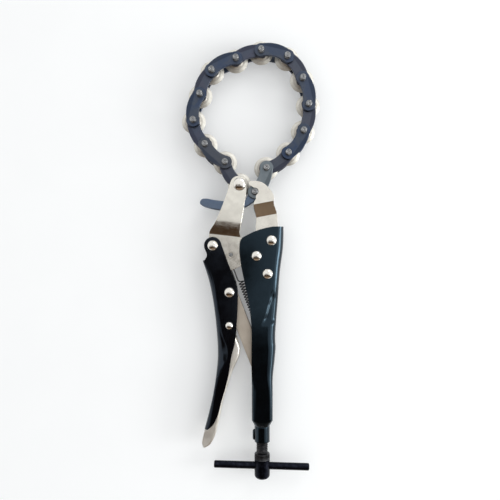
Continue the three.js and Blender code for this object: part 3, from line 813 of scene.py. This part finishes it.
rivet("jaw_pivot_rivet", (0, 0), "body")
rivet("fixed_jaw_upper_rivet", upper_rivet, "body")
rivet("fixed_jaw_lower_rivet", lower_rivet, "body")
rivet("lever_pivot_rivet", lever_pivot, "movable_jaw")
rivet("toggle_rivet", toggle_rivet, "lever")
rivet("chain_anchor_rivet", anchor, "movable_jaw", anchor_head_radius, movable_high + jaw_plate + rivet_gap)
rivet("release_rivet", release_rivet, "lever", release_head_radius, top=head_seat + release_head_height)


# Jaw plates, each bent across two lines


def bent_plate(name, outline, high, bend_from, tilt, run, drop, curve, mirror):
    """A jaw plate that stands high at its tip and is bent down by a drop, along a curve over a run."""
    down = Vector((math.sin(math.radians(tilt)), -math.cos(math.radians(tilt)))).normalized()
    mesh = bmesh.new()
    add_prism(mesh, outline, high, high + jaw_plate)
    steps = 14
    for k in range(steps + 1):
        at = bend_from + down * run * k / steps
        everything = mesh.verts[:] + mesh.edges[:] + mesh.faces[:]
        bmesh.ops.bisect_plane(
            mesh, geom=everything, dist=cut_gap, plane_co=(at.x, at.y, 0), plane_no=(down.x, down.y, 0)
        )
    for vert in mesh.verts:
        share = (vert.co.to_2d() - bend_from).dot(down) / run
        vert.co.z -= drop * curve(min(max(share, 0), 1))
        if mirror:
            vert.co.z = -vert.co.z
    mesh.normal_update()
    mark_sharp(mesh, *plate_seams)
    return new_piece(name, mesh)


# The movable jaw's edges: shares along the line from the jaw pivot to the chain anchor, and shares of the
# lever's arm to its left
movable_left_shares = [(0.87, 0.375), (0.57, 0.735), (0.45, 0.915)]
movable_bottom_shares = [(-0.11, 0.66), (-0.09, 0.37)]
movable_right_shares = [(0.3, 0.247), (0.54, 0.12), (0.69, 0.02), (0.865, -0.098)]
movable_jog_share = (0.545, 0.43)


def jaw_point(share):
    along, aside = share
    side = Vector((-anchor.y, anchor.x)).normalized() * aside * lever_pivot.length
    return anchor * along + side


def movable_jaw(side, mirror):
    nose = arc((anchor.x - nose_shift, anchor.y), nose_radius, -5, 160)
    lug = arc(lever_pivot, lug_radius, 120, 285)
    boss = arc((0, 0), boss_radius, 235, 470, 40)
    outline = closed(
        nose,
        through([nose[-1]] + [jaw_point(s) for s in movable_left_shares] + [lug[0]]),
        lug,
        through([lug[-1]] + [jaw_point(s) for s in movable_bottom_shares] + [boss[0]]),
        boss,
        through([boss[-1]] + [jaw_point(s) for s in movable_right_shares] + [nose[0]]),
    )
    piece = bent_plate(
        f"movable_jaw_plate_{side}", outline, movable_high, jaw_point(movable_jog_share), movable_jog_tilt,
        movable_jog_run, movable_high - jaw_low, lambda share: share**movable_jog_power, mirror,
    )
    drill(piece, spring_pin, spring_pin_radius + pin_play, tool_half, small_sides, plate_seams)
    round_edges(piece, jaw_edge)
    hand_in(piece, "movable_jaw", "nickel", jaw_nickel, f"movable_jaw_{side}")


# The fixed jaw's hook is in shares of its width from the last chain pin, and its shank in shares along the
# line from the jaw pivot to that pin and of the shank's width across
hook_top_shares = [(1, -0.33), (0.7, 0.21), (0.46, 0.42), (0.16, 0.53), (-0.05, 0.55), (-0.26, 0.54)]
hook_tip_shares = [(-0.31, 0.48), (-0.29, 0.33)]
hook_lip_shares = [(0.05, -0.24), (0.05, -0.39), (-0.04, -0.56)]
shank_left_shares = [(0.6, 0.04), (0.41, 0), (0.26, 0.05)]
shank_right_shares = [(0.25, 0.99), (0.48, 1.02), (0.66, 1), (0.85, 0.85)]
fixed_jog_share = (0.828, 0.42)


def hook_point(share):
    return hook_pin + Vector(share) * hook_width


def shank_point(share):
    along, across = share
    return hook_pin * along + Vector((across * shank_width, 0))


def fixed_jaw(side, mirror):
    outline = closed(
        through([shank_point(s) for s in shank_right_shares] + [hook_point(s) for s in hook_top_shares]),
        [hook_point(s) for s in hook_tip_shares],
        arc(hook_pin, notch_radius, 100, -50),
        through([hook_point(s) for s in hook_lip_shares] + [shank_point(s) for s in shank_left_shares]),
        arc((0, 0), boss_clear, 75, -60),
        arc(lower_rivet, foot_radius, 200, 360),
    )
    piece = bent_plate(
        f"fixed_jaw_plate_{side}", outline, hook_low, shank_point(fixed_jog_share), fixed_jog_tilt,
        fixed_jog_run, hook_low - jaw_low, lambda share: share, mirror,
    )
    round_edges(piece, jaw_edge)
    hand_in(piece, "body", "nickel", jaw_nickel, f"fixed_jaw_{side}")


for side, mirror in (("front", False), ("rear", True)):
    movable_jaw(side, mirror)
    fixed_jaw(side, mirror)


def spring_pin_piece():
    end = jaw_low + jaw_plate + rivet_gap / 2
    half = corner(spring_pin_radius, end, (0, -0.3), (-0.3, 0)) + corner(0, end, (0.35, 0), (0, -0.2))
    piece = turned_piece("spring_pin_turned", both_ends(half), small_sides, spring_pin)
    hand_in(piece, "movable_jaw", "plain_steel", pin_steel, "spring_pin")


spring_pin_piece()


# Folded shells. A row is one section across the tool: a cheek, a rounded fold, half the back, and the same
# again behind. Missing points leave the shell open there.

cheek_steps = 36
fold_steps = 14
back_steps = 3
widest_fold_share = 0.75


def channel_half(along, free, fold, width, half, depth):
    """Points from a cheek's free edge round a fold, of a width and a depth, to the middle of the back."""
    sign = 1 if fold > free else -1
    width = min(width, abs(fold - free) * widest_fold_share)
    start = fold - sign * width
    points = [(free + (start - free) * k / cheek_steps, half) for k in range(cheek_steps + 1)]
    for k in range(1, fold_steps + 1):
        turn = math.pi / 2 * k / fold_steps
        points.append((start + sign * width * math.sin(turn), half - depth + depth * math.cos(turn)))
    for k in range(1, back_steps + 1):
        points.append((fold, (half - depth) * (1 - k / back_steps)))
    return [Vector((x, along, z)) for x, z in points]


def whole_row(half_row):
    """The front half of a row and its mirror image behind, which share the middle of the back."""
    rear = [Vector((p.x, p.y, -p.z)) if p is not None else None for p in reversed(half_row[:-1])]
    return half_row + rear


def cheek_row(along, free, end, half):
    """A row where the shell has no back."""
    points = [Vector((free + (end - free) * k / cheek_steps, along, half)) for k in range(cheek_steps + 1)]
    return whole_row(points + [None] * (fold_steps + back_steps))


def channel_rows(top, bottom, steps, free_line, fold_line, width_at, depth, half):
    """Rows down a channel between its free edge and its fold, whose width goes by the place."""
    rows = []
    for k in range(steps + 1):
        along = top + (bottom - top) * k / steps
        width = width_at(along)
        ends = across_at(free_line, along), across_at(fold_line, along)
        rows.append(whole_row(channel_half(along, *ends, width, half, min(width, depth))))
    return rows


def shell_piece(name, rows, wall, centre=(0, 0), rim=shell_rim):
    mesh = bmesh.new()
    grid = [[mesh.verts.new(p) if p is not None else None for p in row] for row in rows]
    for a, b in zip(grid, grid[1:]):
        for j in range(len(a) - 1):
            corners = (a[j], b[j], b[j + 1], a[j + 1])
            if all(c is not None for c in corners):
                mesh.faces.new(corners)
    bmesh.ops.remove_doubles(mesh, verts=mesh.verts[:], dist=shell_gap)
    loose = [v for v in mesh.verts if not v.link_faces]
    bmesh.ops.delete(mesh, geom=loose, context="VERTS")
    bmesh.ops.recalc_face_normals(mesh, faces=mesh.faces[:])
    outward = sum(f.normal.z * f.calc_center_median().z * f.calc_area() for f in mesh.faces)
    if outward < 0:
        bmesh.ops.reverse_faces(mesh, faces=mesh.faces[:])
    mark_sharp(mesh, shell_seam)
    piece = new_piece(name, mesh, centre, turned_out=False)
    solid = piece.modifiers.new("wall", "SOLIDIFY")
    solid.thickness = wall * mm
    solid.offset = -1
    solid.use_even_offset = True
    solid.use_quality_normals = True
    return round_edges(piece, rim, 60, 2)


# The body's back edge and cheek edge: shares of the tube's length below the jaw pivot, and of its reach
back_shares = [(-0.3, 1), (-0.05, 1), (0.09, 0.885), (0.28, 0.8), (0.4, 0.742), (0.53, 0.711), (0.55, 0.72),
               (0.62, 0.692)]
cheek_shares = [(-0.178, 0.6), (-0.164, 0.214), (-0.131, -0.295), (-0.1, -0.576), (-0.048, -0.634),
                (0.017, -0.607), (0.146, -0.464), (0.276, -0.295), (0.414, -0.196), (0.655, -0.188)]

# How wide the body's right fold is, by place along the tool
body_fold_widths = [(25, 6.3), (10, 7.8), (-18, 6.6), (-57, 7), (-70, 6.6), (-85, 6), (-100, 5), (-110, 3.6),
                    (-137.1, 3.4)]

# The thumb's scoop in the body's cheeks, right of a line of (across, along)
scoop_line = [(11, -27), (10.8, -30), (10, -36.5), (8.6, -40.6), (7.6, -44.8), (6.5, -48.9), (4.8, -53.1),
              (3, -58)]
scoop_depth = 1.9
scoop_run = 3.8
scoop_top = (-27, -38)
scoop_bottom = (-52, -58)

# Where rows of the tube lie below the slot and above its own end, and those of its taper in shares
rows_below_slot = (0, 4, 12)
rows_above_end = (10, 1, 0)
taper_shares = (0.3, 0.7, 1)


def body_shell():
    right = screw_across + tube_half_width
    left = screw_across - tube_half_width
    back = down_tool(back_shares, back_reach, tube_length)
    back_line = through(back + [(right, slot_corner - slot_end), (right, -slot_end)])
    back_line.append(Vector((right, -tube_length)))
    cheek_line = through(down_tool(cheek_shares, back_reach, tube_length) + [(left, -slot_end)], 10)
    widths = through([(width, along) for along, width in body_fold_widths])
    rows = []
    for along in [p.y for p in cheek_line if p.y > 0] + [-y for y in range(1, slot_end)]:
        fold = across_at(back_line, along)
        free = across_at(cheek_line, along)
        lead = math.radians(slot_lead_turn) * smooth_step(-along, slot_end - slot_lead_length, slot_end)
        rows.append(body_row(along, free, fold, across_at(widths, along), tube_fold, lead, False))
    tube_rows = [-slot_end - down for down in rows_below_slot] + [up - tube_length for up in rows_above_end]
    for along in tube_rows:
        rows.append(body_row(along, left, right, across_at(widths, along), tube_fold, math.pi / 2, True))
    for share in taper_shares:
        width = tube_half_width + (neck_radius - tube_half_width) * share
        half = cheek_high + (neck_radius - cheek_high) * share
        fold = tube_fold + (neck_radius - tube_fold) * share
        along = -tube_length - taper_length * share
        sides = (screw_across - width, screw_across + width)
        rows.append(body_row(along, *sides, fold, fold, math.pi / 2, True, half))
    for row in rows:
        press_scoop(row)
    piece = shell_piece("body_shell_folded", rows, body_wall)
    hand_in(piece, "body", "black_paint", body_paint, "body_shell")


def body_row(along, free, fold, width, left_width, lead, is_tube, half=cheek_high):
    """A row of the body: the left fold of the tube, which opens above the slot, the cheek, the right fold."""
    depth = min(body_fold_depth, width)
    left_centre = free + left_width * math.sin(lead)
    left_points = []
    for k in range(back_steps):
        left_points.append((free, (half - left_width) * k / back_steps) if is_tube else None)
    for k in range(fold_steps):
        turn = lead * (1 - k / fold_steps)
        height = half - left_width * (1 - math.cos(turn))
        left_points.append((left_centre - left_width * math.sin(turn), height))
    front = [Vector((p[0], along, p[1])) if p else None for p in left_points]
    return whole_row(front + channel_half(along, left_centre, fold, width, half, depth))


def press_scoop(row):
    """Presses the scoop into both cheeks where a row of the body crosses it."""
    points = [p for p in row if p is not None]
    along = points[0].y
    depth = scoop_depth * (1 - smooth_step(along, scoop_top[1], scoop_top[0]))
    depth *= smooth_step(along, scoop_bottom[1], scoop_bottom[0])
    start = across_at([Vector(p) for p in scoop_line], along)
    for point in points:
        point.z *= 1 - depth / cheek_high * smooth_step(point.x, start, start + scoop_run)


body_shell()


def body_neck():
    """The round neck under the tube, with a stake across it."""
    top = -tube_length - taper_length
    bottom = top - neck_length
    neck = (
        corner(neck_radius, top, (0, neck_overlap), (0, -neck_overlap))
        + corner(neck_radius, bottom, (0, 1.2), (0, neck_chamfer), (-neck_chamfer, 0))
        + corner(neck_bore, bottom, (bore_chamfer, 0), (0, bore_chamfer))
        + [(neck_bore, top + neck_overlap)]
    )
    low_end = bottom + stake_length / 2 - stake_radius
    high_end = bottom + 1.5 * stake_length + stake_radius
    rounded = quarter(stake_radius, 6)
    stake = [(out, low_end + up) for out, up in rounded]
    stake += [(out, high_end - up) for out, up in reversed(rounded)]
    mesh = bmesh.new()
    add_turned(mesh, neck, head_sides, ring=True, **on_screw)
    add_turned(mesh, stake, stake_sides, (screw_across - neck_radius, 0, 0), "Y")
    mark_sharp(mesh, turned_seam)
    hand_in(new_piece("body_neck_turned", mesh), "body", "black_paint", body_paint)


body_neck()


def spring_anchor_bar():
    half = cheek_high - body_wall / 2
    profile = both_ends([(spring_pin_radius, half), (0, half)])
    piece = turned_piece("spring_anchor_bar", profile, small_sides, spring_anchor)
    hand_in(piece, "body", "plain_steel", pin_steel)


spring_anchor_bar()

# The lever: shares of its length below its pivot, and shares of its reach across
lever_back_shares = [(0.083, -0.4), (0.197, -0.154), (0.369, 0.072), (0.543, 0.178), (0.587, 0.188),
                     (0.68, 0.154), (0.79, 0.048), (0.953, -0.226), (1.02, -0.36)]
lever_notch_shares = [(0.055, -0.23), (0.083, -0.342)]
lever_right_shares = [(0.072, 0.55), (0.264, 1), (0.306, 1), (0.452, 0.942), (0.54, 0.87), (0.587, 0.779),
                      (0.744, 0.572), (0.853, 0.346), (0.94, 0.165), (0.988, -0.04), (1.006, -0.2)]

# Rows down the lever's channel, and the rows above it: how far apart they are and how far they stay off it
lever_rows = 120
lever_row_gap = 1.5
lever_row_clear = 0.3

# How wide the lever's fold is, by place along it
lever_fold_widths = [(-12, 1.2), (-22, 4), (-60, 4.5), (-76, 5.5), (-85, 8.6), (-94, 8.6), (-102, 4.6),
                     (-156, 4)]


def lever_shell():
    notch = down_tool(lever_notch_shares, lever_reach, lever_length)
    right = down_tool(lever_right_shares, lever_reach, lever_length)
    back = down_tool(lever_back_shares, lever_reach, lever_length)
    lug_left = arc((0, 0), lever_lug_radius, 90, 205, 20)
    lug_right = arc((0, 0), lever_lug_radius, 90, 10, 14)
    flat_line = lug_left + through([lug_left[-1]] + notch, 4)
    right_line = lug_right + through([lug_right[-1]] + right)
    back_line = through(back)
    back_top = back[0].y
    widths = through([(width, along) for along, width in lever_fold_widths])
    heights = [p.y for p in arc((0, 0), lever_lug_radius, 88, 0, 14)]
    heights += [-lever_row_gap * k for k in range(1, 9)]
    rows = [
        cheek_row(along, across_at(right_line, along), across_at(flat_line, along), cheek_high)
        for along in heights if along > back_top + lever_row_clear
    ]
    rows += channel_rows(
        back_top, right[-1].y, lever_rows, right_line, back_line, lambda along: across_at(widths, along),
        lever_fold_depth, cheek_high,
    )
    piece = shell_piece("lever_shell_folded", rows, lever_wall, lever_pivot)
    hand_in(piece, "lever", "black_paint", lever_paint, "lever_shell")


lever_shell()

# The release lever: shares of its length below its rivet, and shares of its reach across
release_right_shares = [(0.064, 0.22), (0.2, 0.4), (0.395, 0.089), (0.65, -0.249), (0.694, -0.293),
                        (0.818, -0.422), (0.894, -0.507), (0.956, -0.636), (0.985, -0.73), (1, -0.86)]
release_left_shares = [(0.2, -0.22), (0.36, -0.28), (0.5, -0.36), (0.65, -0.52), (0.75, -0.63), (0.83, -0.73),
                       (0.858, -0.8), (0.868, -0.91), (0.9, -0.955), (0.98, -0.995), (1, -0.95)]
release_rows = 90


def release_lever():
    left = down_tool(release_left_shares, release_reach, release_length)
    right = down_tool(release_right_shares, release_reach, release_length)
    boss_left = arc((0, 0), release_boss_radius, 90, 200, 16)
    boss_right = arc((0, 0), release_boss_radius, 90, -20, 16)
    left_line = boss_left + through([boss_left[-1]] + left)
    right_line = boss_right + through([boss_right[-1]] + right)
    rows = []
    for along in [p.y for p in arc((0, 0), release_boss_radius, 86, 0, 12)] + [-k for k in range(1, 10)]:
        free = across_at(left_line, along)
        end = across_at(right_line, along) - release_fold * smooth_step(-along, 0, -release_back_top)
        rows.append(cheek_row(along, free, end, release_half))
    rows += channel_rows(
        release_back_top, left[-1].y, release_rows, left_line, right_line, lambda along: release_fold,
        release_fold, release_half,
    )
    piece = shell_piece("release_lever_folded", rows, release_wall, release_rivet, release_rim)
    hand_in(piece, "release_lever", "nickel", release_nickel, "release_lever")


release_lever()


def toggle_link():
    drop = math.sqrt(toggle_length**2 - (screw_across - toggle_rivet.x) ** 2)
    end = Vector((screw_across, toggle_rivet.y - drop))
    turn = math.degrees(math.atan2(toggle_rivet.y - end.y, toggle_rivet.x - end.x))
    outline = closed(
        arc(toggle_rivet, toggle_half_width, turn - 90, turn + 90),
        arc(end, toggle_half_width, turn + 90, turn + 270),
    )
    piece = plate_piece("toggle_bar", [(outline, -toggle_half_thickness, toggle_half_thickness)], toggle_edge)
    hand_in(piece, "toggle_link", "plain_steel", toggle_steel, "toggle_link")


toggle_link()

# The tail lever's edge from its pin: shares of its reach and of its depth
tail_edge_shares = [(-0.18, -0.42), (-0.5, -0.5), (-0.75, -0.42), (-0.9, -0.35), (-0.96, -0.37), (-1, -0.52),
                     (-1, -0.62), (-0.95, -0.74), (-0.85, -0.84), (-0.63, -0.96), (-0.45, -1), (-0.28, -0.94),
                     (-0.15, -0.76)]


def tail_lever():
    head = arc((0, 0), link_end_radius, -60, 135)
    edge = [Vector((x * tail_reach, y * tail_depth)) for x, y in tail_edge_shares]
    outline = closed(head, through([head[-1]] + edge + [head[0]]))
    tip = [p for p in outline if p.x < tail_tip_length - tail_reach]
    low, high = inner_link_low, inner_link_high
    plates = [(outline, low, high), (outline, -high, -low), (tip, -low, low)]
    piece = plate_piece("tail_lever_plates", plates, link_edge, hook_pin)
    hand_in(piece, "tail_lever", "blued_steel", tail_blued, "tail_lever")
    bush = turned_piece("tail_lever_bush", bush_profile, pin_sides, hook_pin, ring=True)
    hand_in(bush, "tail_lever", "plain_steel", pin_steel)


tail_lever()


# Adjusting screw, its hub and the T-bar

hub_low = (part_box("adjusting_screw")[0].y - pivot.y) / mm
hub_top = hub_low + hub_length
bar_middle = place_of("t_bar")


def screw_piece():
    crest = 0.12
    rows = int(thread_rise / thread_pitch * thread_rows)

    def thread_radius_at(radius, height, turn):
        phase = (height / thread_pitch - turn / (2 * math.pi)) % 1
        rise = min(abs(2 * phase - 1) * (1 + crest), 1)
        end = smooth_step(height, hub_top, hub_top + thread_pitch)
        return thread_radius - thread_depth * (1 - rise * end)

    threads = [(thread_radius, hub_top + thread_rise * k / rows) for k in range(rows + 1)]
    profile = [(0, hub_top)] + threads + [(0, hub_top + thread_rise)]
    piece = turned_piece("screw_thread", profile, pin_sides, seam=wire_seam, radius_at=thread_radius_at,
                         **on_screw)
    hand_in(piece, "adjusting_screw", "black_oxide", thread_oxide, "adjusting_screw")


def screw_hub():
    """The hub with a groove, a knurled collar above it and the T-bar's hole."""
    groove = hub_top - collar_length

    def knurled(radius, height, turn):
        if groove + knurl_margin <= height <= hub_top - knurl_margin:
            return radius - knurl_depth * abs(math.sin(knurl_ridges * turn / 2))
        return radius

    foot = [(hub_radius - hub_round + out, hub_low + up) for out, up in quarter(hub_round, 8)]
    waist = (
        corner(hub_radius, groove, (0, -groove_half), (-groove_half, -groove_floor))
        + corner(hub_radius, groove, (-groove_half, groove_floor), (0, groove_half), (0, knurl_margin))
    )
    collar = corner(hub_radius, hub_top, (0, -knurl_margin), (0, -groove_half), (-groove_half, 0))
    profile = [(0, hub_low)] + foot + waist + collar + [(0, hub_top)]
    piece = turned_piece("screw_hub", profile, knurl_ridges * ridge_sides, radius_at=knurled, **on_screw)
    hole = bar_radius + bar_hole_play
    drill(piece, (screw_across, bar_middle.y), hole, 2 * hub_radius, pin_sides, (hub_seam,), across=True)
    hand_in(piece, "adjusting_screw", "black_oxide", screw_oxide)
    piece.data.materials.append(thread_oxide)
    for face in piece.data.polygons:
        if face.center.y > (groove + groove_half) * mm:
            face.material_index = 1


def t_bar():
    low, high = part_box("t_bar")
    half = (high.x - low.x) / mm / 2 / math.cos(math.radians(bar_tilt))
    end = corner(bar_radius, half, (0, -3), (0, -0.9), (-0.12, -0.5), (-0.6, -0.08), (-1, 0)) + [(0, half)]
    piece = turned_piece("t_bar_turned", both_ends(end), bar_sides, bar_middle, head_seam, axis="Y")
    piece.rotation_euler.z = math.radians(90 + bar_tilt)
    hand_in(piece, "t_bar", "black_oxide", screw_oxide, "t_bar")


def screw_nose():
    low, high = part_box("screw_nose")
    bottom = (low.y - pivot.y) / mm
    top = (high.y - pivot.y) / mm
    radius = (high.x - low.x) / mm / 2
    stem = radius - nose_step
    shoulder = top - nose_flange
    tip = [(radius - nose_round + out, top - up) for out, up in reversed(quarter(nose_round, 6))]
    profile = [(0, bottom), (stem, bottom), (stem, shoulder)] + corner(radius, shoulder, (-0.3, 0), (0, 0.3))
    piece = turned_piece("screw_nose_turned", profile + tip + [(0, top)], pin_sides, **on_screw)
    hand_in(piece, "screw_nose", "ground_steel", pin_steel, "screw_nose")


screw_piece()
screw_hub()
t_bar()
screw_nose()


# Return spring: a hook round the jaw's pin, a lead, the coils, a lead and a hook round the body's bar


def spring_points():
    line = spring_anchor - spring_pin
    length = line.length
    along = line.normalized()
    side = Vector((along.y, -along.x))
    radius = spring_pin_radius + wire_radius + pin_play
    lead_steps = 6

    def at(down, reach, turn):
        plane = spring_pin + along * down + side * reach * math.cos(turn)
        return Vector((plane.x, plane.y, reach * math.sin(turn)))

    def hook(centre, direction):
        steps = 16
        turns = [math.radians(hook_turn) * (1 - k / steps) for k in range(steps)]
        return [at(centre - direction * radius * math.sin(t), radius * math.cos(t), 0) for t in turns]

    def lead(k, start, direction):
        share = k / lead_steps
        return at(start + direction * coil_lead * share, radius, math.pi / 2 * share**2)

    coil_end = length - coil_end_room
    run = coil_end - coil_start - 2 * coil_lead
    turns = round(run / coil_pitch)
    steps = 18
    coils = [
        at(coil_start + coil_lead + run * k / (turns * steps), radius, math.pi / 2 + 2 * math.pi * k / steps)
        for k in range(turns * steps + 1)
    ]
    first = hook(0, 1) + [at(hook_lead, radius, 0)] + [lead(k, coil_start, 1) for k in range(lead_steps)]
    last = [lead(k, coil_end, -1) for k in reversed(range(lead_steps))] + [at(length - hook_lead, radius, 0)]
    return first + coils + last + list(reversed(hook(length, -1)))


def return_spring():
    mesh = bmesh.new()
    add_tube(mesh, spring_points(), wire_radius)
    mark_sharp(mesh, wire_seam)
    bmesh.ops.translate(mesh, vec=pivot / mm, verts=mesh.verts[:])
    piece = new_piece("return_spring_wound", mesh)
    piece.location = (0, 0, 0)
    piece.data.materials.append(spring_steel)
    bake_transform(piece)
    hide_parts("return_spring")


return_spring()

# The sleeves inside keep their frame shapes
for name in ("jaw_pivot_spacer", "fixed_jaw_upper_spacer", "fixed_jaw_lower_spacer", "lever_pivot_spacer"):
    sleeve = frame["nodes"][name]
    sleeve.data.materials.clear()
    sleeve.data.materials.append(pin_steel)


# Floor, light and camera

floor_reach = 30000
floor_gap = 0.1
sky_level = 0.78

# The dark figure that metal mirrors, by direction: across is to the side, down is towards the T-bar. Each
# edge goes from where it is clear to where it is full.
body_down = (0.19, 0.29)
body_across = (0.93, 0.74)
hands_down = (-0.035, -0.01)
hands_left = (-0.15, -0.12)
hands_right = (0.018, 0.006)
fingers_down = (0.06, 0.08)
fingers_reach = -0.024
wrist_down = (0.134, 0.148)
wrist_reach = 0.15
sleeve_across = (-0.75, -0.62)
sleeve_down = (0.02, 0.05)
sleeve_end = (0.185, 0.172)
coat_down = (0.7, 0.76)
coat_dark = (0.045, 0.022, 0.008)
coat_light = (0.3, 0.215, 0.15)


def floor():
    mesh = bmesh.new()
    corners = [(-1, -1), (1, -1), (1, 1), (-1, 1)]
    mesh.faces.new([mesh.verts.new((x * floor_reach, y * floor_reach, 0)) for x, y in corners])
    piece = new_piece("floor", mesh, turned_out=False)
    piece.location = (0, 0, cad_box[0][2] - floor_gap * mm)
    piece.data.materials.append(floor_finish())


def area_light(name, place, width, length, power, colour):
    light = bpy.data.lights.new(name, "AREA")
    light.shape = "RECTANGLE"
    light.size = width
    light.size_y = length
    light.energy = power
    light.color = colour
    lamp = bpy.data.objects.new(name, light)
    lamp.location = place
    lamp.rotation_euler = (-Vector(place)).to_track_quat("-Z", "Y").to_euler()
    bpy.context.scene.collection.objects.link(lamp)


def studio():
    """White all round, with the dark figure of whoever leans over the tool from the T-bar's side."""
    world = bpy.data.worlds.new("studio")
    bpy.context.scene.world = world
    world.use_nodes = True
    sky = Nodes(world.node_tree)
    direction = sky.add("SeparateXYZ", Vector=sky.add("TexCoord").outputs["Generated"]).outputs
    across = direction["X"]
    down = sky.times(direction["Y"], -1)
    body = sky.times(sky.spread(down, *body_down), sky.spread(sky.maths("ABSOLUTE", across), *body_across))
    sleeve = sky.times(sky.spread(across, *sleeve_across), sky.spread(down, *sleeve_end))
    sleeve = sky.times(sleeve, sky.spread(down, *sleeve_down))
    hands = sky.times(sky.spread(across, *hands_left), sky.spread(down, *hands_down))
    wrist = sky.times(sky.spread(down, *wrist_down), wrist_reach)
    fingers = sky.times(sky.spread(down, *fingers_down), fingers_reach)
    edge = sky.maths("SUBTRACT", across, sky.maths("ADD", wrist, fingers))
    hands = sky.times(sky.most(hands, sleeve), sky.spread(edge, *hands_right))
    coat = sky.blend(sky.spread(down, *coat_down), coat_dark, coat_light)
    seen, mirrored = sky.seen()
    figure = sky.times(sky.most(body, hands), mirrored)
    strength = sky.maths("ADD", sky.times(seen, 1 - sky_level), sky_level)
    background = sky.tree.nodes["Background"]
    sky.set(background, Color=sky.blend(figure, (1, 1, 1), coat), Strength=strength)


def camera():
    data = bpy.data.cameras.new("camera")
    data.sensor_width = sensor_width
    data.lens = sensor_width * camera_height / photo_width
    data.clip_start = clip_near * mm
    data.clip_end = clip_far * mm
    eye = bpy.data.objects.new("camera", data)
    eye.location = pivot + Vector((camera_across, camera_along, camera_height)) * mm
    bpy.context.scene.collection.objects.link(eye)
    bpy.context.scene.camera = eye


floor()
studio()
# Each lamp's place, width and length in metres, its power in watts and its colour
area_light("far_window", (0.55, 1.0, 0.75), 0.5, 0.5, 2.2, (1.0, 1.0, 0.99))
area_light("side_window", (0.85, -0.1, 0.62), 0.9, 0.7, 1.9, (0.98, 1.0, 1.0))
area_light("low_window", (1.15, -0.03, 0.36), 0.28, 0.54, 3.4, (0.98, 1.0, 1.0))
area_light("door", (1.06, -0.27, 0.41), 0.37, 0.26, 1.7, (1.0, 1.0, 0.98))
camera()
bpy.context.scene.view_settings.view_transform = "Standard"
